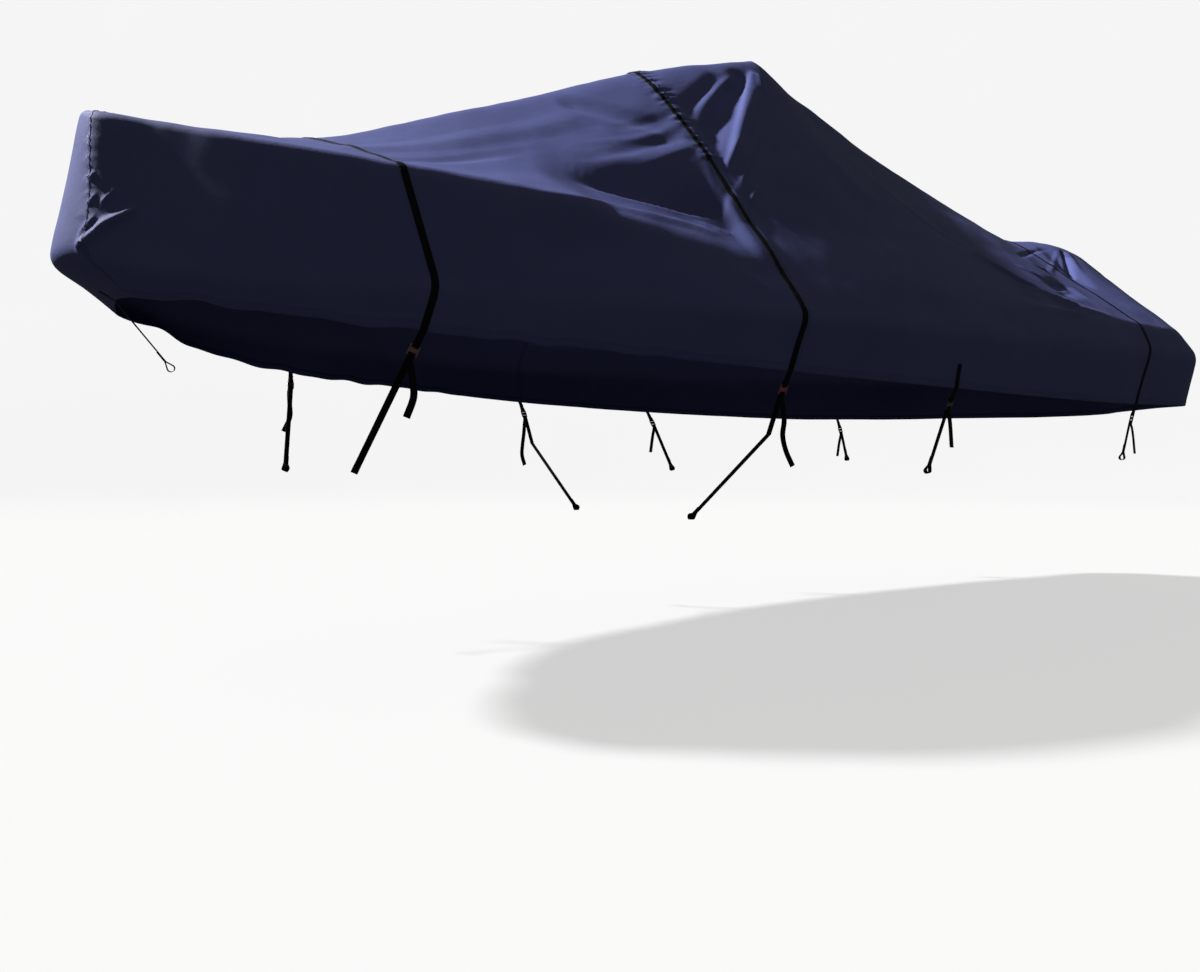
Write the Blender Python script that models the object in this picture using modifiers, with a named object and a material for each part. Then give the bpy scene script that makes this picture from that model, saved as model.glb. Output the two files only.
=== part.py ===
"""Fitted cover for an open motor boat, without the boat, held up from under its peak.

Metres, +X aft, +Y to starboard, +Z up. Everything is laid out from the bow tip, with heights
above the ground under the trailer, and an empty then brings the underside of the peak to the
origin. Three cloth panels meet at two seams, straps run over the top, and each strap ends in
buckles and tie-down tails at both sides.
"""

import math
from collections import namedtuple

import bmesh
import bpy
import numpy as np
from mathutils import Matrix, Vector

CLOTH = 0.003  # thickness of the coated cloth
SEAM_GAP = 0.0010  # between the outer faces of two panels at a seam
SEAM_ROW = 0.006  # width of the narrow row of mesh along a seam
FOLD_EASE = 0.08  # distance over which a fold dies out beside a strap
LIFT = 0.0008  # what lies on the cloth stays this far off it
CLEAR = 0.0004  # between webbing and the bar that it winds round, or webbing beside it
WEBBING_WIDTH = 0.025
WEBBING = 0.002  # thickness of the webbing
PEAK_X, PEAK_Z = 3.21, 2.943  # the highest point of the cloth, on the centreline
STRAP_BED = 0.036  # width of the flat strip of cloth under a strap
SEAM_BEHIND_STRAP = 0.024  # from the middle strap's line back to the seam beside it
SIDE_TIE_X = 3.385
SIDE_TIE_LENGTH = 0.085  # of the webbing sewn on the skirt, up from the hem

GUNWALE_ROUND = 0.045  # reach of the rounding on either side of the gunwale line
ROUND_LIMIT = 0.45  # share of a straight stretch that a rounding may take
TOP_CROWDING = 0.8  # below 1 it brings the top's rows closer together near the ridge
SKIRT_STEPS, GUNWALE_STEPS, SIDE_STEPS, EDGE_STEPS, TOP_STEPS = 1, 3, 2, 3, 10

# Cross sections of the port half, bow to stern. hem, gunwale and edge are (x, half width, height);
# the edge is where the side turns over to the top. ridge is (x, height) on the centreline, crown
# lifts the top between edge and ridge, round_ridge and round_edge are the reaches of the
# roundings there.
Section = namedtuple("Section", "name hem gunwale edge ridge crown round_ridge round_edge")
SECTIONS = [Section(*row) for row in [
    ("nose", (0.19, 0.0, 1.4), (-0.02, 0.0, 1.512), (0.08, 0.0, 2.055), (0.15, 2.07), 0.0, 0.05, 0.02),
    ("nose_seam", (0.215, 0.21, 1.384), (0.076, 0.25, 1.5), (0.1, 0.21, 2.004), (0.26, 2.064), 0.0, 0.05, 0.03),
    ("bow", (0.35, 0.37, 1.362), (0.25, 0.42, 1.452), (0.28, 0.35, 1.959), (0.35, 2.062), 0.0, 0.05, 0.03),
    ("cuddy", (0.6, 0.62, 1.306), (0.55, 0.665, 1.418), (0.535, 0.56, 1.895), (0.58, 2.076), 0.0, 0.05, 0.03),
    ("fore_strap", (1.03, 0.86, 1.25), (1.06, 0.905, 1.397), (0.981, 0.79, 1.822), (0.865, 2.112), 0.0, 0.05, 0.035),
    ("foredeck", (1.65, 1.0, 1.213), (1.68, 1.07, 1.384), (1.538, 0.94, 1.761), (1.58, 2.376), -0.05, 0.06, 0.05),
    ("mid_strap", (2.43, 1.13, 1.171), (2.44, 1.215, 1.379), (2.44, 0.97, 1.715), (2.44, 2.716), 0.045, 0.08, 0.12),
    ("canopy", (2.85, 1.155, 1.156), (2.85, 1.23, 1.382), (2.85, 1.005, 1.706), (2.87, 2.86), 0.02, 0.08, 0.14),
    ("peak", (3.21, 1.17, 1.146), (3.21, 1.235, 1.386), (3.21, 1.03, 1.7), (PEAK_X, PEAK_Z), -0.01, 0.06, 0.15),
    ("peak_back", (3.55, 1.168, 1.139), (3.55, 1.23, 1.391), (3.55, 1.04, 1.682), (3.53, 2.828), -0.03, 0.05, 0.14),
    ("cockpit", (4.1, 1.15, 1.13), (4.1, 1.212, 1.403), (4.1, 1.05, 1.64), (4.25, 2.588), -0.03, 0.05, 0.12),
    ("aft_deck", (4.65, 1.12, 1.127), (4.67, 1.18, 1.417), (4.67, 1.07, 1.595), (4.95, 2.39), -0.01, 0.08, 0.06),
    ("aft_strap", (5.04, 1.08, 1.133), (5.09, 1.14, 1.428), (5.1, 1.07, 1.575), (5.45, 2.287), 0.0, 0.06, 0.04),
    ("quarter", (5.48, 1.06, 1.142), (5.52, 1.12, 1.43), (5.48, 1.055, 1.57), (5.8, 2.318), 0.0, 0.1, 0.04),
    ("corner", (5.73, 1.0, 1.148), (5.76, 1.05, 1.432), (5.7, 0.98, 1.585), (6.02, 2.312), 0.0, 0.09, 0.04),
    ("transom", (5.82, 0.8, 1.148), (5.85, 0.83, 1.44), (5.83, 0.79, 1.69), (6.13, 2.3), 0.0, 0.08, 0.04),
    ("motor", (6.0, 0.48, 1.145), (6.03, 0.5, 1.45), (6.05, 0.46, 1.925), (6.24, 2.278), 0.0, 0.08, 0.05),
    ("hood", (6.2, 0.25, 1.145), (6.24, 0.26, 1.47), (6.25, 0.22, 2.09), (6.31, 2.25), 0.0, 0.07, 0.05),
    ("back", (6.27, 0.0, 1.145), (6.32, 0.0, 1.48), (6.34, 0.0, 2.14), (6.335, 2.22), 0.0, 0.05, 0.04),
]]
# Mesh steps between one section and the next, bow to stern.
STEPS_TO_NEXT = [3, 3, 3, 4, 6, 8, 5, 4, 4, 5, 4, 4, 4, 3, 2, 3, 3, 2]

# Main folds of the port half, each along a line from start to end as (x, height). reach is how far
# the fold spreads on each side of its line, and depth is how far in it goes, or out if negative.
Fold = namedtuple("Fold", "name start end reach depth")
FOLDS = [
    Fold("deck_hollow", (1.80, 1.88), (2.36, 1.83), 0.24, 0.042),
    Fold("deck_wave", (2.02, 2.42), (2.38, 2.28), 0.09, 0.014),
    Fold("peak_upper", (2.86, 2.72), (2.52, 2.45), 0.08, 0.016),
    Fold("peak_middle", (3.04, 2.78), (2.50, 2.27), 0.09, 0.024),
    Fold("peak_low_ridge", (3.00, 2.66), (2.52, 2.10), 0.07, -0.012),
    Fold("peak_low", (2.86, 2.26), (2.56, 1.88), 0.09, 0.006),
    Fold("cockpit_pull", (4.05, 1.86), (4.50, 1.64), 0.07, -0.016),
    Fold("strap_dent", (4.66, 1.76), (4.90, 1.80), 0.09, 0.022),
    Fold("hood_wedge", (5.62, 2.17), (5.36, 1.94), 0.09, 0.024),
]

# Tie-downs on the port side. waypoints are where the tail is pulled to, as (x, half width, height),
# the last one its end; loose is the free end's path from the buckle, as steps (x, outward, down).
TieDown = namedtuple("TieDown", "name waypoints loose")
FREE_END = [(0.0, 0.004, 0.02), (0.004, 0.010, 0.07), (0.006, 0.010, 0.13), (-0.022, 0.010, 0.20)]
CREASED_END = [(0.0, 0.004, 0.03), (0.0, 0.008, 0.09), (-0.008, 0.002, 0.15), (-0.004, 0.010, 0.21),
               (0.020, 0.016, 0.27)]
SHORT_END = [(0.0, 0.004, 0.02), (-0.004, 0.008, 0.07), (-0.010, 0.010, 0.16)]
TIE_DOWNS = [
    TieDown("fore", [(0.915, 0.50, 0.785)], FREE_END),
    TieDown("mid", [(2.44, 1.00, 0.925), (2.44, 0.50, 0.57)], CREASED_END),
    TieDown("side", [(3.44, 0.98, 0.775)], SHORT_END),
    TieDown("aft", [(5.05, 1.00, 0.840)], SHORT_END),
]
BOW_TIE_END = (0.376, 0.0, 1.164)
BOW_TIE_SEWN = 0.06  # length of the bow tie sewn on under the nose

BUCKLE_DROP = 0.062  # from the hem down to the buckle
BUCKLE_WIDTH, BUCKLE_LENGTH, BUCKLE_THICK = 0.036, 0.040, 0.005
BAR = 0.004  # height of each of the buckle's three bars
TURN = BUCKLE_THICK / 2 + CLEAR + WEBBING / 2  # radius at which webbing winds round a bar
TURN_STEPS = 6
LAP = 0.045  # webbing folded back behind itself and sewn
BACK_BEND, BACK_MEET = 0.008, 0.026  # above the buckle's top: where the lap bends in, and where it meets
FREE_START, FREE_LEAN = 0.018, 0.10  # where a free end leaves its buckle, and how fast it leans outward
TAIL_START = 0.015  # where the tail leaves the back of its buckle
LOOP_RADIUS = 0.013  # of the sewn loop at a tail's end
LOOP_NECK = 0.03  # from the loop's centre to where its two sides meet
LOOP_FROM, LOOP_TURN = -30, 240  # degrees: where the loop's round part starts, and how far it goes
LOOP_STEPS = 8

NAVY = (0.030, 0.034, 0.085, 1.0)
BLACK = (0.010, 0.010, 0.012, 1.0)
BUCKLE_BROWN = (0.120, 0.050, 0.045, 1.0)


def material(name, color, roughness):
    made = bpy.data.materials.new(name)
    made.use_nodes = True
    shader = made.node_tree.nodes["Principled BSDF"]
    shader.inputs["Base Color"].default_value = color
    shader.inputs["Roughness"].default_value = roughness
    shader.inputs["Metallic"].default_value = 0.0
    return made


def as_row(section):
    """A section's eleven places and three roundings as one array, so that sections can be blended."""
    return np.array([*section.hem, *section.gunwale, *section.edge, *section.ridge,
                     section.crown, section.round_ridge, section.round_edge])


def mirrored(row):
    """The same section on the other side: the half widths change sign."""
    row = row.copy()
    row[[1, 4, 7]] *= -1
    return row


class Lines:
    """The section rows as smooth lines along the boat, by distance along them."""

    def __init__(self):
        rows = [as_row(s) for s in SECTIONS]
        self.rows = [mirrored(rows[1]), *rows, mirrored(rows[-2])]
        steps = [self.length(a, b) for a, b in zip(self.rows, self.rows[1:])]
        self.at = np.concatenate([[0], np.cumsum(steps)]) - steps[0]
        self.straps = [self.place(name) for name in ("fore_strap", "mid_strap", "aft_strap")]

    @staticmethod
    def length(a, b):
        """Mean of how far the gunwale and the ridge run between two sections."""
        gunwale = np.linalg.norm(a[3:6] - b[3:6])
        ridge = np.linalg.norm(a[9:11] - b[9:11])
        return (gunwale + ridge) / 2

    def place(self, name):
        return self.at[1 + [s.name for s in SECTIONS].index(name)]

    def slope(self, i):
        """How fast each column changes at row i: a mean that never overshoots, and none at a peak."""
        before, after = self.at[i] - self.at[i - 1], self.at[i + 1] - self.at[i]
        back = (self.rows[i] - self.rows[i - 1]) / before
        ahead = (self.rows[i + 1] - self.rows[i]) / after
        same_way = back * ahead > 0
        divisor = (2 * after + before) * np.abs(ahead) + (after + 2 * before) * np.abs(back)
        mean = 3 * (before + after) * np.abs(back * ahead) / np.where(same_way, divisor, 1.0)
        return np.where(same_way, np.sign(ahead) * mean, 0.0)

    def row(self, s):
        """The section at distance s, by cubic Hermite between its neighbours."""
        i = int(np.clip(np.searchsorted(self.at, s, side="right") - 1, 1, len(self.rows) - 3))
        gap = self.at[i + 1] - self.at[i]
        u = (s - self.at[i]) / gap
        return ((1 + 2 * u) * (1 - u) ** 2 * self.rows[i] + u * (1 - u) ** 2 * gap * self.slope(i)
                + u * u * (3 - 2 * u) * self.rows[i + 1] + u * u * (u - 1) * gap * self.slope(i + 1))

    def section(self, s):
        """The port half's points at distance s. Its folds ease out beside each strap."""
        away = min(abs(s - place) for place in self.straps)
        ease = np.clip((away - SEAM_BEHIND_STRAP - SEAM_ROW) / FOLD_EASE, 0, 1)
        return folded(half_section(self.row(s)), ease * ease * (3 - 2 * ease))


def rounded(before, corner, after, reach, steps):
    """Points of a rounded corner, from reach before it to reach after it."""
    reach_in = min(reach, ROUND_LIMIT * np.linalg.norm(before - corner))
    reach_out = min(reach, ROUND_LIMIT * np.linalg.norm(after - corner))
    start = corner + (before - corner) / np.linalg.norm(before - corner) * reach_in
    end = corner + (after - corner) / np.linalg.norm(after - corner) * reach_out
    u = np.linspace(0, 1, steps + 1)[:, None]
    return (1 - u) ** 2 * start + 2 * u * (1 - u) * corner + u * u * end


def between(start, end, steps):
    """The points strictly between two ends."""
    return [start + (end - start) * i / steps for i in range(1, steps)]


def top_line(edge, ridge, crown, round_ridge, steps):
    """Points from the edge up to the centreline, rounded over at the ridge."""
    half = np.linalg.norm(edge[1]) + 1e-6
    points = []
    for i in range(steps + 1):
        u = (i / steps) ** TOP_CROWDING
        out = half * (1 - u)
        drop = math.hypot(out, round_ridge) - round_ridge
        full = math.hypot(half, round_ridge) - round_ridge
        height = ridge[2] - (ridge[2] - edge[2]) * drop / full + crown * 4 * u * (1 - u)
        points.append(np.array([edge[0] + (ridge[0] - edge[0]) * u, edge[1] * (1 - u), height]))
    points[-1][1] = 0.0
    return points


def half_section(row):
    """Points of one section's port half, from the hem up over the gunwale and edge to the ridge."""
    hem, gunwale, edge = row[0:3], row[3:6], row[6:9]
    ridge = np.array([row[9], 0.0, row[10]])
    crown, round_ridge, round_edge = row[11:14]
    low = rounded(hem, gunwale, edge, GUNWALE_ROUND, GUNWALE_STEPS)
    high = rounded(gunwale, edge, ridge, round_edge, EDGE_STEPS)
    skirt = [hem, *between(hem, low[0], SKIRT_STEPS)]
    side = between(low[-1], high[0], SIDE_STEPS)
    top = top_line(high[-1], ridge, crown, round_ridge, TOP_STEPS)
    return np.array([*skirt, *low, *side, *high, *top[1:]]) * (1, -1, 1)


def folded(points, ease):
    """One section's points, pushed in or out where a fold's line passes near them."""
    along = np.gradient(points, axis=0)
    outward = np.stack([0 * along[:, 0], -along[:, 2], along[:, 1]], axis=1)
    outward /= np.linalg.norm(outward, axis=1)[:, None]
    side_view = points[:, [0, 2]]
    push = np.zeros(len(points))
    for fold in FOLDS:
        start, run = np.array(fold.start), np.subtract(fold.end, fold.start)
        u = np.clip((side_view - start) @ run / (run @ run), 0, 1)
        away = np.linalg.norm(side_view - start - u[:, None] * run, axis=1)
        push -= fold.depth * np.cos(np.clip(away / fold.reach, 0, 1) * math.pi / 2) ** 2
    moved = points + outward * push[:, None] * ease
    moved[-1, 1] = 0.0
    return moved


def stations(lines):
    """Distances of the mesh's sections: even steps between the table's rows, and a flat bed under
    each strap."""
    places = [lines.place(s.name) for s in SECTIONS]
    made = []
    for start, end, steps in zip(places, places[1:], STEPS_TO_NEXT):
        made += [start + (end - start) * i / steps for i in range(steps)]
    made.append(places[-1])
    half = STRAP_BED / 2
    for middle in [*lines.straps, side_tie_place(lines)]:
        made = [s for s in made if abs(s - middle) > 2 * half] + [middle - half, middle + half]
    seam = lines.place("mid_strap") + SEAM_BEHIND_STRAP
    return sorted([s for s in made if abs(s - seam) > half / 2] + [seam])


def side_tie_place(lines):
    """The distance at which the gunwale passes the side tie."""
    start, end = lines.place("peak"), lines.place("cockpit")
    tries = np.linspace(start, end, 200)
    return float(tries[np.argmin([abs(lines.row(s)[3] - SIDE_TIE_X) for s in tries])])


def cut_edge(lines, seam, toward):
    """A panel's last two rows at a seam, the last one half the gap from it. toward is 1 aft, -1 forward.
    The narrow row gives both panels the same slope there."""
    points = lines.section(seam)
    beside = lines.section(seam + toward * SEAM_GAP)
    edge = points + np.array([unit(v) for v in beside - points]) * SEAM_GAP / 2
    return [edge, lines.section(seam + toward * SEAM_ROW)][::toward]


def panel(name, rows, color):
    """One cloth panel: the port half as an open loft, mirrored, then given its thickness inwards."""
    mesh = bpy.data.meshes.new(name)
    made = bmesh.new()
    grid = [[made.verts.new(p) for p in row] for row in rows]
    for a, b in zip(grid, grid[1:]):
        for j in range(len(a) - 1):
            made.faces.new((a[j], b[j], b[j + 1], a[j + 1]))
    for face in made.faces:
        face.smooth = True
    made.to_mesh(mesh)
    made.free()
    obj = add(name, mesh, color)
    mirror = obj.modifiers.new("starboard half", "MIRROR")
    mirror.use_axis = (False, True, False)
    mirror.merge_threshold = 0.0001
    thickness = obj.modifiers.new("cloth", "SOLIDIFY")
    thickness.thickness = CLOTH
    thickness.offset = -1
    return obj


def add(name, mesh, finish):
    obj = bpy.data.objects.new(name, mesh)
    obj.data.materials.clear()
    obj.data.materials.append(finish)
    collection.objects.link(obj)
    obj.parent = origin
    return obj


def ribbon(points, across):
    """The two rims of a free flat strap along points, its width as near as can be along across."""
    points = [np.array(p, float) for p in points]
    rims = []
    for i, point in enumerate(points):
        tangent = unit(points[min(i + 1, len(points) - 1)] - points[max(i - 1, 0)])
        side = unit(across - tangent * (across @ tangent)) * WEBBING_WIDTH / 2
        rims.append((point - side, point + side))
    return rims


def webbing(name, rims, finish):
    """A flat strap between its two rims, with its thickness half to each side."""
    mesh = bpy.data.meshes.new(name)
    made = bmesh.new()
    pairs = [[made.verts.new(p) for p in pair] for pair in rims]
    for a, b in zip(pairs, pairs[1:]):
        made.faces.new((a[0], a[1], b[1], b[0]))
    made.to_mesh(mesh)
    made.free()
    obj = add(name, mesh, finish)
    thickness = obj.modifiers.new("webbing", "SOLIDIFY")
    thickness.thickness = WEBBING
    thickness.offset = 0
    thickness.use_even_offset = True
    return obj


def unit(vector):
    return vector / np.linalg.norm(vector)


def strap_bed(lines, place):
    """The flat bed at this distance, down its port half from ridge to hem: middle points, outward
    normals, and the webbing's half width along the bed."""
    ahead = lines.section(place - STRAP_BED / 2)[::-1]
    behind = lines.section(place + STRAP_BED / 2)[::-1]
    points = (ahead + behind) / 2
    aft = np.array([unit(v) for v in behind - ahead])
    down = np.array([unit(v) for v in np.gradient(points, axis=0)])
    normals = np.array([unit(np.cross(d, a)) for a, d in zip(aft, down)])
    slant = np.linalg.norm(np.cross(down, aft), axis=1)[:, None]
    return points, normals, aft * WEBBING_WIDTH / 2 / slant


def flip(points):
    """The same points on the starboard side."""
    return [np.array(p) * (1, -1, 1) for p in points]


def flip_rims(rims):
    return [tuple(flip(pair)) for pair in rims]


class Fastening:
    """The places of one tie-down's buckle, on the port side, in the plane that the webbing bends in."""

    def __init__(self, hem, outward, first_waypoint):
        self.hem = hem
        self.down = unit(np.array(first_waypoint) - hem)
        self.out = unit(outward - self.down * (outward @ self.down))
        self.across = np.cross(self.out, self.down)
        self.plate = -TURN + LIFT + WEBBING / 2  # the buckle's middle plane, outward of the cloth's face
        self.top_bar = BUCKLE_DROP + BAR
        self.bottom_bar = BUCKLE_DROP + BUCKLE_LENGTH - BAR

    def at(self, down, outward):
        return self.hem + self.down * down + self.out * outward

    def strap_end(self):
        """Webbing from just under the hem, round the buckle's top bar and up behind itself."""
        front, back = self.plate + TURN, self.plate - TURN
        path = [self.at(BUCKLE_DROP / 3, front), self.at(BUCKLE_DROP * 2 / 3, front)]
        for i in range(TURN_STEPS + 1):
            angle = math.pi * i / TURN_STEPS
            path.append(self.at(self.top_bar + TURN * math.sin(angle), self.plate + TURN * math.cos(angle)))
        behind = front - WEBBING - CLEAR
        path.append(self.at(BUCKLE_DROP - BACK_BEND, back))
        path.append(self.at(BUCKLE_DROP - BACK_MEET, behind))
        path.append(self.at(BUCKLE_DROP - LAP, behind))
        return path

    def tail(self, waypoints, loose):
        """Webbing from its free end, over the buckle's bottom bar and down to a sewn loop at its far end."""
        front = self.at(self.bottom_bar + FREE_START, self.plate + TURN)
        path = []
        for x, outward, down in reversed(loose):
            step = front + np.array([x, 0.0, -down])
            path.append(step + np.array([0.0, -outward - FREE_LEAN * down, 0.0]))
        path.append(front)
        for i in range(TURN_STEPS + 1):
            angle = math.pi * i / TURN_STEPS
            path.append(self.at(self.bottom_bar - TURN * math.sin(angle), self.plate + TURN * math.cos(angle)))
        path.append(self.at(self.bottom_bar + TAIL_START, self.plate - TURN))
        for waypoint in waypoints[:-1]:
            path.append(np.array(waypoint))
        return path + end_loop(path[-1], np.array(waypoints[-1]), self.across)


def end_loop(start, end, across):
    """A tail's last stretch and its sewn loop, which comes back up beside it."""
    run = unit(end - start)
    side = unit(np.cross(across, run))
    lap = WEBBING + CLEAR
    neck = end - run * LOOP_NECK
    path = [neck - run * LAP, neck]
    centre = end + side * lap / 2
    for i in range(LOOP_STEPS + 1):
        angle = math.radians(LOOP_FROM + LOOP_TURN * i / LOOP_STEPS)
        path.append(centre + (run * math.sin(angle) - side * math.cos(angle)) * LOOP_RADIUS)
    return path + [neck + side * lap, neck + side * lap - run * LAP]


def bow_tie(lines):
    """Webbing sewn on under the nose and pulled down and aft to a loop."""
    hem, above = lines.section(lines.place("nose"))[:2]
    across = np.array([0.0, 1.0, 0.0])
    up = unit(above - hem)
    start = hem + np.cross(up, across) * (LIFT + WEBBING / 2)
    return ribbon([start + up * BOW_TIE_SEWN, start, *end_loop(start, np.array(BOW_TIE_END), across)], across)


def buckle_mesh():
    """A flat frame with two slots, lying in its own XY plane, the webbing's run along Y."""
    plate = box_object("buckle plate", (BUCKLE_WIDTH, BUCKLE_LENGTH, BUCKLE_THICK), (0, 0, 0))
    slot = (BUCKLE_LENGTH - 3 * BAR) / 2
    for sign in (-1, 1):
        size = (WEBBING_WIDTH + 0.002, slot, 4 * BUCKLE_THICK)
        cutter = box_object("slot", size, (0, sign * (slot + BAR) / 2, 0))
        cutter.hide_render = True
        cutter.display_type = "WIRE"
        cut = plate.modifiers.new("slot", "BOOLEAN")
        cut.object = cutter
        cut.operation = "DIFFERENCE"
    bpy.context.view_layer.update()
    evaluated = plate.evaluated_get(bpy.context.evaluated_depsgraph_get())
    mesh = bpy.data.meshes.new_from_object(evaluated)
    bpy.data.objects.remove(plate)
    return mesh


def box_object(name, size, middle):
    mesh = bpy.data.meshes.new(name)
    made = bmesh.new()
    bmesh.ops.create_cube(made, size=1)
    bmesh.ops.scale(made, vec=size, verts=made.verts)
    bmesh.ops.translate(made, vec=middle, verts=made.verts)
    made.to_mesh(mesh)
    made.free()
    obj = bpy.data.objects.new(name, mesh)
    cutters.objects.link(obj)
    return obj


def place_buckle(name, mesh, fastening, sign, finish):
    """The buckle's plate at its fastening, on the port side or, mirrored, on the other."""
    flat = np.array([1, sign, 1])
    middle = fastening.at(BUCKLE_DROP + BUCKLE_LENGTH / 2, fastening.plate) * flat
    down, out = fastening.down * flat, fastening.out * flat
    across = np.cross(out, down)
    obj = add(name, mesh, finish)
    turn = Matrix((across, down, np.cross(across, down))).transposed()
    obj.matrix_local = Matrix.Translation(Vector(middle)) @ turn.to_4x4()
    return obj


def build():
    lines = Lines()
    cloth = material("coated cloth", NAVY, 0.75)
    black = material("webbing", BLACK, 0.8)
    brown = material("buckle", BUCKLE_BROWN, 0.45)
    every = stations(lines)
    nose = lines.place("nose_seam")
    seam = lines.place("mid_strap") + SEAM_BEHIND_STRAP

    def rows(start, end):
        return [lines.section(s) for s in every if start < s < end]

    panel("nose_panel", [*rows(-1.0, nose - SEAM_ROW), *cut_edge(lines, nose, -1)], cloth)
    fore = rows(nose + SEAM_ROW, seam - SEAM_ROW)
    panel("fore_panel", [*cut_edge(lines, nose, 1), *fore, *cut_edge(lines, seam, -1)], cloth)
    panel("aft_panel", [*cut_edge(lines, seam, 1), *rows(seam + SEAM_ROW, math.inf)], cloth)

    webbing("bow_tie", bow_tie(lines), black)
    frame = buckle_mesh()
    for tie in TIE_DOWNS:
        sewn_on = tie.name == "side"
        place = side_tie_place(lines) if sewn_on else lines.place(tie.name + "_strap")
        points, normals, half_width = strap_bed(lines, place)
        lifted = points + normals * (LIFT + WEBBING / 2)
        waypoints = [(x, -y, z) for x, y, z in tie.waypoints]
        fastening = Fastening(points[-1], normals[-1], waypoints[0])
        end = ribbon(fastening.strap_end(), fastening.across)
        if sewn_on:
            port = []
            for height in (SIDE_TIE_LENGTH, 0.0):
                up = height / np.linalg.norm(points[-2] - points[-1])
                middle = lifted[-1] + (lifted[-2] - lifted[-1]) * up
                half = half_width[-1] + (half_width[-2] - half_width[-1]) * up
                port.append((middle - half, middle + half))
            port += end
            webbing("side_tie_port", port, black)
            webbing("side_tie_starboard", flip_rims(port), black)
        else:
            port = [(p - w, p + w) for p, w in zip(lifted, half_width)] + end
            webbing(f"{tie.name}_strap", flip_rims(port[:0:-1]) + port, black)
        tail = ribbon(fastening.tail(waypoints, tie.loose), fastening.across)
        webbing(f"{tie.name}_tail_port", tail, black)
        webbing(f"{tie.name}_tail_starboard", flip_rims(tail), black)
        for side, sign in (("port", 1), ("starboard", -1)):
            place_buckle(f"{tie.name}_buckle_{side}", frame, fastening, sign, brown)


for leftover in list(bpy.data.objects):
    bpy.data.objects.remove(leftover)
collection = bpy.data.collections.new("boat_cover")
cutters = bpy.data.collections.new("cutters")
bpy.context.scene.collection.children.link(collection)
bpy.context.scene.collection.children.link(cutters)
origin = bpy.data.objects.new("boat_cover_origin", None)
collection.objects.link(origin)
origin.location = (-PEAK_X, 0.0, CLOTH - PEAK_Z)
build()
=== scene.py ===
"""The looks of a fitted boat cover: fine cloth with its folds, creases, seams, hems and stitching,
ribbed webbing, slide buckles, materials, a pale studio and a camera.

Metres. Everything is laid out from the bow tip, X aft, Y to starboard and Z above the ground, and
TO_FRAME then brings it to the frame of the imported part.
"""

import math
from collections import namedtuple

import bpy
import numpy as np
from mathutils import Matrix, Vector
from mathutils.bvhtree import BVHTree


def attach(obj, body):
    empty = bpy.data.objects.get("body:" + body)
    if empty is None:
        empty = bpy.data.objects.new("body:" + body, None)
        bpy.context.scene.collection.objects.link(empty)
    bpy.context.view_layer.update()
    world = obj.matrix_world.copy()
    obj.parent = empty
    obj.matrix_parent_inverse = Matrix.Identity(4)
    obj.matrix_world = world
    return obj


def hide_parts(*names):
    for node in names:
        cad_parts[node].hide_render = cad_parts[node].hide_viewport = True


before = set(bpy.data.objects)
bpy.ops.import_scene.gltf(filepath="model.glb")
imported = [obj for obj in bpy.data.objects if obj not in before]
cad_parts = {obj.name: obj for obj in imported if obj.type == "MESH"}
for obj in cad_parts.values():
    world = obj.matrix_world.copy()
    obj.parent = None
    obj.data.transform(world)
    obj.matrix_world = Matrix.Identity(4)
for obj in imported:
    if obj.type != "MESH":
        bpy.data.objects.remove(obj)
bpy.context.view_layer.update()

# ------------------------------------------------------------------ sizes shared with the solids

CLOTH = 0.003
SEAM_GAP = 0.0010
SEAM_ROW = 0.006
FOLD_EASE = 0.08  # distance over which a main fold dies out beside a strap
LIFT = 0.0008
CLEAR = 0.0004
WEBBING_WIDTH = 0.025
WEBBING = 0.002
PEAK_X, PEAK_Z = 3.21, 2.943
SEAM_BEHIND_STRAP = 0.024
SIDE_TIE_X, SIDE_TIE_TRIES = 3.385, 200
SIDE_TIE_LENGTH = 0.085
GUNWALE_ROUND = 0.045
ROUND_LIMIT = 0.45
TO_FRAME = np.array([-PEAK_X, 0.0, CLOTH - PEAK_Z])

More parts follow.
